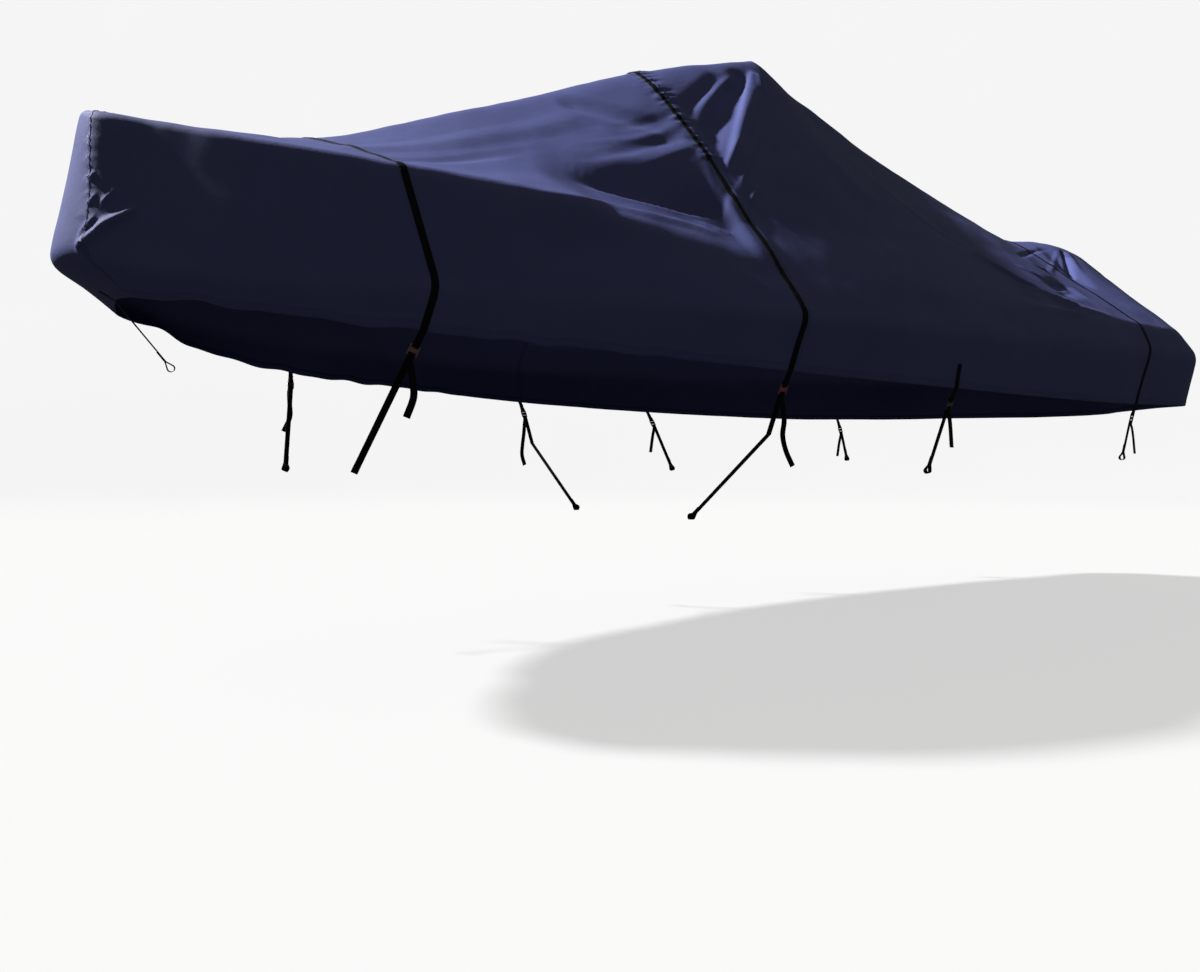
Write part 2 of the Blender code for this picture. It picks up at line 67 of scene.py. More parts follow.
Section = namedtuple("Section", "name hem gunwale edge ridge crown round_ridge round_edge")
SECTIONS = [Section(*row) for row in [
    ("nose", (0.19, 0.0, 1.4), (-0.02, 0.0, 1.512), (0.08, 0.0, 2.055), (0.15, 2.07), 0.0, 0.05, 0.02),
    ("nose_seam", (0.215, 0.21, 1.384), (0.076, 0.25, 1.5), (0.1, 0.21, 2.004), (0.26, 2.064),
     0.0, 0.05, 0.03),
    ("bow", (0.35, 0.37, 1.362), (0.25, 0.42, 1.452), (0.28, 0.35, 1.959), (0.35, 2.062),
     0.0, 0.05, 0.03),
    ("cuddy", (0.6, 0.62, 1.306), (0.55, 0.665, 1.418), (0.535, 0.56, 1.895), (0.58, 2.076),
     0.0, 0.05, 0.03),
    ("fore_strap", (1.03, 0.86, 1.25), (1.06, 0.905, 1.397), (0.981, 0.79, 1.822), (0.865, 2.112),
     0.0, 0.05, 0.035),
    ("foredeck", (1.65, 1.0, 1.213), (1.68, 1.07, 1.384), (1.538, 0.94, 1.761), (1.58, 2.376),
     -0.05, 0.06, 0.05),
    ("mid_strap", (2.43, 1.13, 1.171), (2.44, 1.215, 1.379), (2.44, 0.97, 1.715), (2.44, 2.716),
     0.045, 0.08, 0.12),
    ("canopy", (2.85, 1.155, 1.156), (2.85, 1.23, 1.382), (2.85, 1.005, 1.706), (2.87, 2.86),
     0.02, 0.08, 0.14),
    ("peak", (3.21, 1.17, 1.146), (3.21, 1.235, 1.386), (3.21, 1.03, 1.7), (PEAK_X, PEAK_Z),
     -0.01, 0.06, 0.15),
    ("peak_back", (3.55, 1.168, 1.139), (3.55, 1.23, 1.391), (3.55, 1.04, 1.682), (3.53, 2.828),
     -0.03, 0.05, 0.14),
    ("cockpit", (4.1, 1.15, 1.13), (4.1, 1.212, 1.403), (4.1, 1.05, 1.64), (4.25, 2.588),
     -0.03, 0.05, 0.12),
    ("aft_deck", (4.65, 1.12, 1.127), (4.67, 1.18, 1.417), (4.67, 1.07, 1.595), (4.95, 2.39),
     -0.01, 0.08, 0.06),
    ("aft_strap", (5.04, 1.08, 1.133), (5.09, 1.14, 1.428), (5.1, 1.07, 1.575), (5.45, 2.287),
     0.0, 0.06, 0.04),
    ("quarter", (5.48, 1.06, 1.142), (5.52, 1.12, 1.43), (5.48, 1.055, 1.57), (5.8, 2.318),
     0.0, 0.1, 0.04),
    ("corner", (5.73, 1.0, 1.148), (5.76, 1.05, 1.432), (5.7, 0.98, 1.585), (6.02, 2.312),
     0.0, 0.09, 0.04),
    ("transom", (5.82, 0.8, 1.148), (5.85, 0.83, 1.44), (5.83, 0.79, 1.69), (6.13, 2.3),
     0.0, 0.08, 0.04),
    ("motor", (6.0, 0.48, 1.145), (6.03, 0.5, 1.45), (6.05, 0.46, 1.925), (6.24, 2.278),
     0.0, 0.08, 0.05),
    ("hood", (6.2, 0.25, 1.145), (6.24, 0.26, 1.47), (6.25, 0.22, 2.09), (6.31, 2.25), 0.0, 0.07, 0.05),
    ("back", (6.27, 0.0, 1.145), (6.32, 0.0, 1.48), (6.34, 0.0, 2.14), (6.335, 2.22), 0.0, 0.05, 0.04),
]]
# Fine mesh steps between one section and the next, bow to stern.
STEPS_TO_NEXT = [24, 36, 34, 40, 50, 84, 42, 28, 20, 36, 40, 42, 32, 16, 14, 16, 10, 6]
# Fine mesh steps up each half: skirt, gunwale rounding, side, edge rounding, top.
SKIRT_STEPS, GUNWALE_STEPS, SIDE_STEPS, EDGE_STEPS, TOP_STEPS = 6, 6, 38, 10, 100

Fold = namedtuple("Fold", "name start end reach depth")
FOLDS = [
    Fold("deck_hollow", (1.80, 1.88), (2.36, 1.83), 0.24, 0.042),
    Fold("deck_wave", (2.02, 2.42), (2.38, 2.28), 0.09, 0.014),
    Fold("peak_upper", (2.86, 2.72), (2.52, 2.45), 0.08, 0.016),
    Fold("peak_middle", (3.04, 2.78), (2.50, 2.27), 0.09, 0.024),
    Fold("peak_low_ridge", (3.00, 2.66), (2.52, 2.10), 0.07, -0.012),
    Fold("peak_low", (2.86, 2.26), (2.56, 1.88), 0.09, 0.006),
    Fold("cockpit_pull", (4.05, 1.86), (4.50, 1.64), 0.07, -0.016),
    Fold("strap_dent", (4.66, 1.76), (4.90, 1.80), 0.09, 0.022),
    Fold("hood_wedge", (5.62, 2.17), (5.36, 1.94), 0.09, 0.024),
]

TieDown = namedtuple("TieDown", "name waypoints loose")
FREE_END = [(0.0, 0.004, 0.02), (0.004, 0.010, 0.07), (0.006, 0.010, 0.13), (-0.022, 0.010, 0.20)]
CREASED_END = [(0.0, 0.004, 0.03), (0.0, 0.008, 0.09), (-0.008, 0.002, 0.15), (-0.004, 0.010, 0.21),
               (0.020, 0.016, 0.27)]
SHORT_END = [(0.0, 0.004, 0.02), (-0.004, 0.008, 0.07), (-0.010, 0.010, 0.16)]
TIE_DOWNS = [
    TieDown("fore", [(0.915, 0.50, 0.785)], FREE_END),
    TieDown("mid", [(2.44, 1.00, 0.925), (2.44, 0.50, 0.57)], CREASED_END),
    TieDown("side", [(3.44, 0.98, 0.775)], SHORT_END),
    TieDown("aft", [(5.05, 1.00, 0.840)], SHORT_END),
]
BOW_TIE_END = (0.376, 0.0, 1.164)
BOW_TIE_SEWN = 0.06
BUCKLE_DROP = 0.062
BUCKLE_WIDTH, BUCKLE_LENGTH, BUCKLE_THICK = 0.036, 0.040, 0.005
BAR = 0.004
TURN = BUCKLE_THICK / 2 + CLEAR + WEBBING / 2
TURN_STEPS = 12
LAP = 0.045
BACK_BEND, BACK_MEET = 0.008, 0.026
FREE_START, FREE_LEAN, FREE_STEPS = 0.018, 0.10, 6
TAIL_START = 0.015
LOOP_RADIUS = 0.013
LOOP_NECK = 0.03
LOOP_FROM, LOOP_TURN = -30, 240
LOOP_STEPS = 20

# ------------------------------------------------------------------ camera, in the photograph's pixels

PHOTO_WIDTH, PHOTO_HEIGHT = 1200, 972
FOCAL_PIXELS = 933.0
HORIZON_ROW = 463.0
SENSOR = 36.0
EYE = np.array([-0.14, -3.80, 0.81])
AHEAD = np.array([0.536, 0.844, 0.0])
RIGHT = np.array([0.844, -0.536, 0.0])
UP = np.array([0.0, 0.0, 1.0])


def add_object(name, data):
    obj = bpy.data.objects.new(name, data)
    bpy.context.scene.collection.objects.link(obj)
    return obj


def make_camera():
    camera = add_object("camera", bpy.data.cameras.new("camera"))
    camera.data.sensor_width = SENSOR
    camera.data.lens = SENSOR * FOCAL_PIXELS / PHOTO_WIDTH
    camera.data.shift_y = (HORIZON_ROW - PHOTO_HEIGHT / 2) / PHOTO_WIDTH
    turn = Matrix((RIGHT, UP, -AHEAD)).transposed().to_4x4()
    camera.matrix_world = Matrix.Translation(Vector(EYE + TO_FRAME)) @ turn
    bpy.context.scene.camera = camera


def pixel_ray(column, row):
    across = (column - PHOTO_WIDTH / 2) / FOCAL_PIXELS
    height = (HORIZON_ROW - row) / FOCAL_PIXELS
    return Vector(AHEAD + RIGHT * across + UP * height).normalized()


# ------------------------------------------------------------------ the cover's lines


def unit(vectors):
    """Each vector of an array at length 1."""
    return vectors / (np.linalg.norm(vectors, axis=-1, keepdims=True) + 1e-12)


def distances(points):
    """How far along a line of points each of them lies."""
    return np.concatenate([[0], np.cumsum(np.linalg.norm(np.diff(points, axis=0), axis=1))])


def smoothstep(share):
    share = np.clip(share, 0, 1)
    return share * share * (3 - 2 * share)


def as_row(section):
    return np.array([*section.hem, *section.gunwale, *section.edge, *section.ridge,
                     section.crown, section.round_ridge, section.round_edge])


def mirrored(row):
    row = row.copy()
    row[[1, 4, 7]] *= -1
    return row


class Lines:
    """The section rows as smooth lines along the boat, by distance along them."""

    def __init__(self):
        rows = [as_row(s) for s in SECTIONS]
        self.rows = [mirrored(rows[1]), *rows, mirrored(rows[-2])]
        steps = [self.length(a, b) for a, b in zip(self.rows, self.rows[1:])]
        self.at = np.concatenate([[0], np.cumsum(steps)]) - steps[0]
        self.straps = [self.place(name) for name in ("fore_strap", "mid_strap", "aft_strap")]

    @staticmethod
    def length(a, b):
        gunwale = np.linalg.norm(a[3:6] - b[3:6])
        ridge = np.linalg.norm(a[9:11] - b[9:11])
        return (gunwale + ridge) / 2

    def place(self, name):
        return self.at[1 + [s.name for s in SECTIONS].index(name)]

    def slope(self, i):
        before, after = self.at[i] - self.at[i - 1], self.at[i + 1] - self.at[i]
        back = (self.rows[i] - self.rows[i - 1]) / before
        ahead = (self.rows[i + 1] - self.rows[i]) / after
        same_way = back * ahead > 0
        divisor = (2 * after + before) * np.abs(ahead) + (after + 2 * before) * np.abs(back)
        mean = 3 * (before + after) * np.abs(back * ahead) / np.where(same_way, divisor, 1.0)
        return np.where(same_way, np.sign(ahead) * mean, 0.0)

    def row(self, s):
        i = int(np.clip(np.searchsorted(self.at, s, side="right") - 1, 1, len(self.rows) - 3))
        gap = self.at[i + 1] - self.at[i]
        u = (s - self.at[i]) / gap
        return ((1 + 2 * u) * (1 - u) ** 2 * self.rows[i] + u * (1 - u) ** 2 * gap * self.slope(i)
                + u * u * (3 - 2 * u) * self.rows[i + 1] + u * u * (u - 1) * gap * self.slope(i + 1))

    def section(self, s):
        """The port half's points at distance s, with the main folds."""
        away = min(abs(s - place) for place in self.straps)
        ease = smoothstep((away - SEAM_BEHIND_STRAP - SEAM_ROW) / FOLD_EASE)
        row = self.row(s)
        row[2] += hem_scallop(s)
        return folded(half_section(row), ease)


SCALLOPS = ((0.004, 19.0, 0.0), (0.003, 31.0, 1.0))  # height, radians a metre, start
SCALLOP_IN, SCALLOP_OUT, SCALLOP_END = 0.3, 1.2, 2.6


def hem_scallop(s):
    """The bow's hem isn't quite straight: it lifts a little between the points where it is pulled."""
    fade = smoothstep(s / SCALLOP_IN) * smoothstep((SCALLOP_END - s) / SCALLOP_OUT)
    return fade * sum(height * math.sin(s * turn + start) for height, turn, start in SCALLOPS)


def rounded(before, corner, after, reach, steps):
    reach_in = min(reach, ROUND_LIMIT * np.linalg.norm(before - corner))
    reach_out = min(reach, ROUND_LIMIT * np.linalg.norm(after - corner))
    start = corner + unit(before - corner) * reach_in
    end = corner + unit(after - corner) * reach_out
    u = np.linspace(0, 1, steps + 1)[:, None]
    return (1 - u) ** 2 * start + 2 * u * (1 - u) * corner + u * u * end


def between(start, end, steps):
    """The points strictly between two ends."""
    u = (np.arange(1, steps) / steps)[:, None]
    return start + (end - start) * u


def top_line(edge, ridge, crown, round_ridge, steps):
    half = abs(edge[1]) + 1e-6
    u = np.linspace(0, 1, steps + 1)
    drop = np.hypot(half * (1 - u), round_ridge) - round_ridge
    full = math.hypot(half, round_ridge) - round_ridge
    height = ridge[2] - (ridge[2] - edge[2]) * drop / full + crown * 4 * u * (1 - u)
    return np.stack([edge[0] + (ridge[0] - edge[0]) * u, edge[1] * (1 - u), height], axis=1)


def half_section(row):
    hem, gunwale, edge = row[0:3], row[3:6], row[6:9]
    ridge = np.array([row[9], 0.0, row[10]])
    crown, round_ridge, round_edge = row[11:14]
    low = rounded(hem, gunwale, edge, GUNWALE_ROUND, GUNWALE_STEPS)
    high = rounded(gunwale, edge, ridge, round_edge, EDGE_STEPS)
    skirt = between(hem, low[0], SKIRT_STEPS)
    side = between(low[-1], high[0], SIDE_STEPS)
    top = top_line(high[-1], ridge, crown, round_ridge, TOP_STEPS)
    return np.concatenate([[hem], skirt, low, side, high, top[1:]]) * (1, -1, 1)


def folded(points, ease):
    along = np.gradient(points, axis=0)
    outward = unit(np.stack([0 * along[:, 0], -along[:, 2], along[:, 1]], axis=1))
    side_view = points[:, [0, 2]]
    push = np.zeros(len(points))
    for fold in FOLDS:
        start, run = np.array(fold.start), np.subtract(fold.end, fold.start)
        u = np.clip((side_view - start) @ run / (run @ run), 0, 1)
        away = np.linalg.norm(side_view - start - u[:, None] * run, axis=1)
        push -= fold.depth * np.cos(np.clip(away / fold.reach, 0, 1) * math.pi / 2) ** 2
    moved = points + outward * push[:, None] * ease
    moved[-1, 1] = 0.0
    return moved


def side_tie_place(lines):
    start, end = lines.place("peak"), lines.place("cockpit")
    tries = np.linspace(start, end, SIDE_TIE_TRIES)
    return float(tries[np.argmin([abs(lines.row(s)[3] - SIDE_TIE_X) for s in tries])])


def stations(lines):
    """Distances of the fine mesh's rows."""
    places = [lines.place(s.name) for s in SECTIONS]
    made = []
    for start, end, steps in zip(places, places[1:], STEPS_TO_NEXT):
        made += list(start + (end - start) * np.arange(steps) / steps)
    return [*made, places[-1]]


# ------------------------------------------------------------------ creases

# A crease is a soft ridge, or a trough where its height is negative, along a line of the photograph's
# pixels (column, row), which falls on the cloth behind them, or along points of the cloth itself where
# it crosses the boat's middle. left and right are how far it spreads on each side of the line, seen
# from outside and looking along it, and fade is the share of its length over which it dies out. Each
# is one number, or one for the line's start and one for its end. crisp is 0 for a round crest and 1
# for a sharp one.
Crease = namedtuple("Crease", "name line left right height crisp fade")
CREASES = [Crease(*row) for row in [
    # the fan of folds ahead of the peak
    ("peak_point", ((3.21, -.22, 2.79), (3.21, 0, 2.943), (3.21, .22, 2.79)), .1, .22, .018, .9, .4),
    ("fan_trough_upper", ((716, 84), (700, 98), (684, 112)), (.03, .05), (.03, .04), -.004, .3, .3),
    ("fan_trough_lower", ((734, 88), (722, 112), (709, 146)),
     (.04, .06), (.02, .04), -.004, .3, (.3, .2)),
    ("fan_crest", ((752, 70), (745, 105), (737, 138), (728, 170)),
     (.12, .16), (.025, .04), .022, .3, (.1, .25)),
    ("fan_between", ((738, 74), (716, 92), (696, 118)), (.04, .06), (.04, .06), .016, .2, .3),
    ("fan_streak", ((739, 136), (733, 152), (726, 171)), .02, (.022, .026), .012, .6, (.5, .2)),
    ("peak_sliver", ((755, 73), (760, 85), (765, 97)), (.02, .024), (.024, .028), .014, .6, (.3, .6)),
    ("peak_pull_upper", ((761, 127), (749, 160), (737, 186)),
     (.026, .03), (.03, .034), .015, .6, (.4, .3)),
    ("peak_pull_fork", ((750, 158), (744, 176), (741, 189)),
     (.018, .02), (.02, .024), .011, .7, (.5, .3)),
    ("peak_pull_lower", ((759, 185), (754, 195), (750, 205)),
     (.02, .024), (.024, .028), .013, .6, (.4, .3)),
    # waves and the hollow ahead of the middle strap
    ("deck_dark_upper", ((600, 130), (640, 124), (680, 113)),
     (.05, .06), (.05, .06), -.005, .1, (.6, .2)),
    ("deck_dark_lower", ((560, 160), (630, 150), (690, 134)), (.06, .08), .05, -.007, .1, (.6, .2)),
    ("deck_light_between", ((560, 144), (640, 138), (692, 120)), .05, .05, .005, .1, (.6, .3)),
    ("hollow_upper_lip", ((625, 172), (660, 158), (698, 144)),
     (.08, .06), (.05, .04), .006, .3, (.5, .2)),
    ("edge_strip", ((470, 178), (560, 195), (641, 213), (681, 222), (706, 229), (743, 237)),
     .04, (.07, .08), .011, .1, (.4, .25)),
    ("hollow_wide", ((566, 176), (640, 195), (726, 215)), (.14, .44), (.06, .05), -.04, .1, (.35, .16)),
    ("hollow_inner", ((640, 198), (690, 209), (726, 217)), (.08, .2), .04, -.01, .2, (.5, .16)),
    ("edge_tail", ((690, 220), (718, 229), (745, 239)), .02, .03, .007, .6, (.3, .4)),
    ("deck_long_wave", ((300, 150), (420, 146), (540, 128), (620, 104)),
     (.1, .12), (.1, .12), .008, 0, .4),
    ("deck_long_trough", ((330, 158), (450, 160), (560, 146)), .07, .06, -.007, 0, .5),
    # the nose
    ("nose_long", ((76, 251), (97, 234), (109, 224), (143, 208)),
     (.05, .03), (.026, .018), .02, .4, (.12, .2)),
    ("nose_second", ((78, 238), (88, 226), (98, 215)), (.022, .018), (.014, .012), .009, .5, (.2, .3)),
    ("nose_third", ((99, 207), (107, 198), (117, 189)), (.022, .018), (.014, .012), .009, .5, .3),
    ("nose_fourth", ((87, 205), (92, 199), (97, 194)), (.016, .014), (.016, .014), .008, .6, .3),
    ("nose_fifth", ((88, 180), (92, 176), (96, 172)), (.016, .014), (.016, .014), .008, .6, .3),
    ("bow_top_sag", ((.2, 0, 2.063), (.35, 0, 2.062), (.58, 0, 2.076), (.8, 0, 2.1)),
     .3, .3, -.018, 0, (.3, .4)),
    ("bow_side_sag", ((120, 180), (190, 215), (280, 225)), (.08, .1), (.1, .12), -.003, 0, .5),
    # the cockpit's slope down to the stern
    ("stern_pull_upper", ((976, 252), (1013, 277), (1032, 286), (1057, 298)),
     (.026, .036), (.022, .026), .016, .4, (.6, .3)),
    ("stern_pull_lower", ((983, 268), (1016, 284), (1050, 296), (1080, 307)),
     (.024, .034), (.022, .024), .016, .4, (.6, .3)),
    ("stern_gap", ((1010, 292), (1045, 300), (1084, 310)), (.02, .016), (.026, .016), -.008, .3, .3),
    ("stern_strip", ((1008, 303), (1050, 310), (1094, 317)),
     (.045, .035), (.03, .024), .018, .3, (.6, .3)),
    ("stern_light", ((1040, 298), (1080, 309), (1115, 317)), (.12, .06), .03, .012, .2, (.6, .3)),
    ("strap_pucker_one", ((1012, 262), (1030, 272), (1045, 279)),
     (.02, .024), (.02, .024), .014, .6, .3),
    ("strap_pucker_two", ((1020, 256), (1036, 266), (1052, 274)),
     (.018, .022), (.018, .022), .01, .6, .3),
    ("strap_dent_rim", ((1046, 288), (1060, 293), (1074, 290)), .024, .024, .006, .2, .3),
    ("strap_dent_deep", ((1046, 283), (1060, 286), (1074, 288)), .03, .03, -.012, .2, .3),
    # the hood over the stern
    ("hood_dark_upper", ((1018, 256), (1034, 252), (1052, 248)), (.02, .03), .03, -.012, .3, (.3, .4)),
    ("hood_wedge", ((1062, 250), (1066, 262), (1071, 278)),
     (.014, .045), (.014, .04), -.02, .3, (.1, .2)),
    ("hood_wedge_crest", ((1066, 250), (1073, 262), (1082, 276)),
     (.03, .05), (.015, .03), .007, .4, (.2, .3)),
    ("hood_facet", ((1058, 250), (1054, 262), (1050, 274)), (.02, .04), (.02, .04), .006, .4, (.2, .3)),
    # soft pulls on the dark side, under the gunwale too
    ("side_pull_one", ((885, 378), (905, 350), (935, 325)), (.05, .07), (.05, .07), .006, .2, (.2, .7)),
    ("side_pull_two", ((925, 382), (945, 352), (985, 328)), (.05, .07), (.05, .07), .007, .2, (.2, .7)),
    ("side_pull_three", ((955, 372), (990, 350), (1040, 338)),
     (.04, .06), (.05, .07), .006, .2, (.2, .7)),
    ("side_sag_fore", ((480, 215), (560, 240), (660, 250)), (.1, .12), (.12, .14), -.012, 0, .5),
    ("side_pull_mid", ((800, 330), (770, 290), (720, 262)), (.05, .07), (.05, .07), .003, .2, (.2, .7)),
    ("side_pull_fore", ((436, 280), (470, 235), (520, 205)),
     (.04, .06), (.04, .06), .006, .2, (.2, .7)),
    ("side_pull_fore_ahead", ((428, 262), (400, 225), (350, 190)),
     (.04, .05), (.04, .05), .005, .2, (.2, .7)),
    ("cockpit_soft", ((800, 130), (850, 190), (900, 240)), (.12, .14), (.12, .14), -.01, 0, .5),
    ("cockpit_soft_low", ((850, 160), (930, 225), (1000, 262)),
     (.07, .06), (.07, .06), .006, 0, (.5, .4)),
    ("aft_side_soft", ((1000, 330), (1070, 345), (1130, 345)), .08, .08, -.007, 0, .5),
]]
LINE_STEPS = 10  # points cast for each stretch of a crease's line
CAST_ROWS = 500  # rows of the cloth that the pixels are cast on
COPY_SHIFT, COPY_LEAST = 0.06, 0.5  # how far a crease's far copy shifts, and its least share of height
WAVE_SEED, COPY_SEED, PUCKER_SEED = 7, 11, 23

# Rows of small puckers where the cloth is gathered into a seam: (section it is by, offset, share of the
# way from hem to ridge at which they start and end, spacing, reach, height).
Puckers = namedtuple("Puckers", "section offset start end spacing reach height")
PUCKERS = [
    Puckers("nose_seam", 0.0, 0.30, 1.0, 0.030, 0.055, 0.0032),
    Puckers("mid_strap", SEAM_BEHIND_STRAP, 0.58, 1.0, 0.036, 0.090, 0.0085),
    Puckers("mid_strap", SEAM_BEHIND_STRAP, 0.05, 0.5, 0.060, 0.060, 0.0016),
]
PUCKER_WIDTHS, PUCKER_PITCHES = (0.35, 0.6), (0.6, 1.5)  # least and most, as shares of the spacing
PUCKER_HEIGHTS = (0.4, 1.2)
PUCKER_LEAN = 3  # most points of a section by which a pucker leans
PUCKER_STEPS, PUCKER_CRISP, PUCKER_FADE = 4, 0.4, 0.5

# Slow unevenness of the whole cloth: wavelengths and heights of the sines that make it up.
UNEVEN = [(0.52, 0.0022), (0.33, 0.0013), (0.21, 0.0009), (0.13, 0.0005)]
UNEVEN_EACH = 4  # sines of each wavelength, in different directions


def through(points, steps):
    """A smooth curve through points, with this many steps to each stretch."""
    points = [np.array(p, float) for p in points]
    ends = [2 * points[0] - points[1], *points, 2 * points[-1] - points[-2]]
    made = []
    for a, b, c, d in zip(ends, ends[1:], ends[2:], ends[3:]):
        for u in np.arange(steps) / steps:
            made.append(0.5 * (2 * b + (c - a) * u + (2 * a - 5 * b + 4 * c - d) * u * u
                               + (3 * b - a - 3 * c + d) * u ** 3))
    return np.array([*made, points[-1]])


class Push:
    """One crease as a line in space, which pushes the cloth near it in or out."""

    def __init__(self, line, left, right, height, crisp, fade):
        self.start, self.run = line[:-1], np.diff(line, axis=0)
        lengths = np.linalg.norm(self.run, axis=1)
        self.ends = np.concatenate([[0], np.cumsum(lengths)]) / lengths.sum()
        self.left, self.right = np.broadcast_to(left, 2), np.broadcast_to(right, 2)
        self.height, self.crisp, self.fade = height, crisp, np.broadcast_to(fade, 2)
        reach = max(*self.left, *self.right)
        self.low, self.high = line.min(0) - reach, line.max(0) + reach

    def add_to(self, push, points, normals):
        near = np.flatnonzero(((points > self.low) & (points < self.high)).all(1))
        if not len(near):
            return
        close, normal = points[near], normals[near]
        best = np.full(len(near), np.inf)
        along, offset, heading = np.zeros(len(near)), np.zeros((len(near), 3)), np.zeros((len(near), 3))
        for i, (start, run) in enumerate(zip(self.start, self.run)):
            u = np.clip((close - start) @ run / (run @ run), 0, 1)
            away = close - start - u[:, None] * run
            distance = (away ** 2).sum(1)
            nearer = distance < best
            best[nearer] = distance[nearer]
            offset[nearer] = away[nearer]
            heading[nearer] = run
            along[nearer] = self.ends[i] + (self.ends[i + 1] - self.ends[i]) * u[nearer]
        on_left = np.einsum("ij,ij->i", np.cross(normal, heading), offset) > 0
        width = np.where(on_left, self.left[0] + (self.left[1] - self.left[0]) * along,
                         self.right[0] + (self.right[1] - self.right[0]) * along)
        share = 1 - np.clip(np.sqrt(best) / width, 0, 1)
        profile = (1 - self.crisp) * smoothstep(share) + self.crisp * share ** 2
        fade = smoothstep(along / self.fade[0]) * smoothstep((1 - along) / self.fade[1])
        push[near] += self.height * profile * fade


class Skin:
    """The cover's outer surface, port hem to starboard hem, with its main folds and its creases."""

    STEP = 0.002  # for slopes along the boat

    def __init__(self, lines):
        self.lines = lines
        self.pushes = []
        chance = np.random.default_rng(WAVE_SEED)
        self.waves = []
        for length, height in UNEVEN:
            for _ in range(UNEVEN_EACH):
                way = unit(chance.normal(size=3)) * 2 * math.pi / length
                self.waves.append((way, chance.uniform(0, 2 * math.pi), height / math.sqrt(UNEVEN_EACH)))

    def base(self, at):
        halves = np.array([self.lines.section(s) for s in at])
        return np.concatenate([halves, halves[:, -2::-1] * (1, -1, 1)], axis=1)

    def rows(self, at):
        """Points and outward normals of the rows at these distances."""
        at = np.asarray(at, float)
        points = self.base(at)
        along = self.base(at + self.STEP) - self.base(at - self.STEP)
        normals = unit(np.cross(along, np.gradient(points, axis=1)))
        flat, flat_normals = points.reshape(-1, 3), normals.reshape(-1, 3)
        push = np.zeros(len(flat))
        for way, phase, height in self.waves:
            push += height * np.sin(flat @ way + phase)
        for crease in self.pushes:
            crease.add_to(push, flat, flat_normals)
        moved = flat + flat_normals * push[:, None]
        return moved.reshape(points.shape), normals

    def add_creases(self):
        """Casts each crease's pixels onto the cloth, and lays a varied copy of it on the other side."""
        grid = self.base(np.linspace(self.lines.place("nose"), self.lines.place("back"), CAST_ROWS))
        points = [Vector(p) for p in grid.reshape(-1, 3)]
        tree = BVHTree.FromPolygons(points, grid_faces(*grid.shape[:2]))
        chance = np.random.default_rng(COPY_SEED)
        for crease in CREASES:
            line = through(crease.line, LINE_STEPS)
            if line.shape[1] == 2:
                hits = [tree.ray_cast(Vector(EYE), pixel_ray(*pixel))[0] for pixel in line]
                line = np.array([hit[:] for hit in hits if hit is not None])
            shape = (crease.height, crease.crisp, crease.fade)
            self.pushes.append(Push(line, crease.left, crease.right, *shape))
            if len(crease.line[0]) == 3:
                continue
            shift = np.array([chance.uniform(-COPY_SHIFT, COPY_SHIFT), 0.0, 0.0])
            height = crease.height * chance.uniform(COPY_LEAST, 1.0)
            copy = line * (1, -1, 1) + shift
            self.pushes.append(Push(copy, crease.right, crease.left, height, *shape[1:]))

    def add_puckers(self):
        chance = np.random.default_rng(PUCKER_SEED)
        for row in PUCKERS:
            seam = self.lines.place(row.section) + row.offset
            half = self.lines.section(seam)
            before, after = self.lines.section(seam - row.reach), self.lines.section(seam + row.reach)
            lengths = distances(half)
            for side in (1, -1):
                place = row.start * lengths[-1]
                while place < row.end * lengths[-1]:
                    j = int(np.searchsorted(lengths, place))
                    lean = int(chance.integers(-PUCKER_LEAN, PUCKER_LEAN + 1))
                    k = int(np.clip(j + lean, 0, len(half) - 1))
                    line = np.array([before[k], half[j], after[j]]) * (1, side, 1)
                    width = row.spacing * chance.uniform(*PUCKER_WIDTHS)
                    height = row.height * chance.uniform(*PUCKER_HEIGHTS)
                    line = through(line, PUCKER_STEPS)
                    self.pushes.append(Push(line, width, width, height, PUCKER_CRISP, PUCKER_FADE))
                    place += row.spacing * chance.uniform(*PUCKER_PITCHES)


# ------------------------------------------------------------------ meshes


SHARP = math.radians(50)  # angle between faces from which an edge is drawn sharp


def add_mesh(name, points, faces, material, uv=None):
    """A mesh object in the part's frame. uv is one (u, v) in metres for each point."""
    mesh = bpy.data.meshes.new(name)
    mesh.from_pydata((np.asarray(points) + TO_FRAME).tolist(), [], faces)
    mesh.shade_smooth()
    if uv is not None:
        corners = np.zeros(len(mesh.loops), np.int32)
        mesh.loops.foreach_get("vertex_index", corners)
        layer = mesh.uv_layers.new(name="metres")
        layer.uv.foreach_set("vector", np.asarray(uv, np.float32)[corners].ravel())
    mesh.materials.append(material)
    return add_object(name, mesh)


def grid_faces(rows, columns, closed=False):
    """Quads of a grid of points, row by row. A closed grid joins its last column to its first."""
    last = columns if closed else columns - 1
    return [(i * columns + j, (i + 1) * columns + j,
             (i + 1) * columns + (j + 1) % columns, i * columns + (j + 1) % columns)
            for i in range(rows - 1) for j in range(last)]


def loft(name, rings, material):
    """A closed skin over rings of points, with a cap at each end, its faces pointing out."""
    rings = np.asarray(rings)
    count, around = rings.shape[:2]
    if winds_back(rings):
        rings = rings[:, ::-1]
    faces = grid_faces(count, around, closed=True)
    faces.append(tuple(range(around)))
    faces.append(tuple((count - 1) * around + j for j in range(around))[::-1])
    girth = distances(rings[0])
    run = distances(rings.mean(1))
    uv = np.stack(np.broadcast_arrays(girth[None, :], run[:, None]), axis=-1).reshape(-1, 2)
    obj = add_mesh(name, rings.reshape(-1, 3), faces, material, uv)
    obj.data.set_sharp_from_angle(angle=SHARP)
    return obj


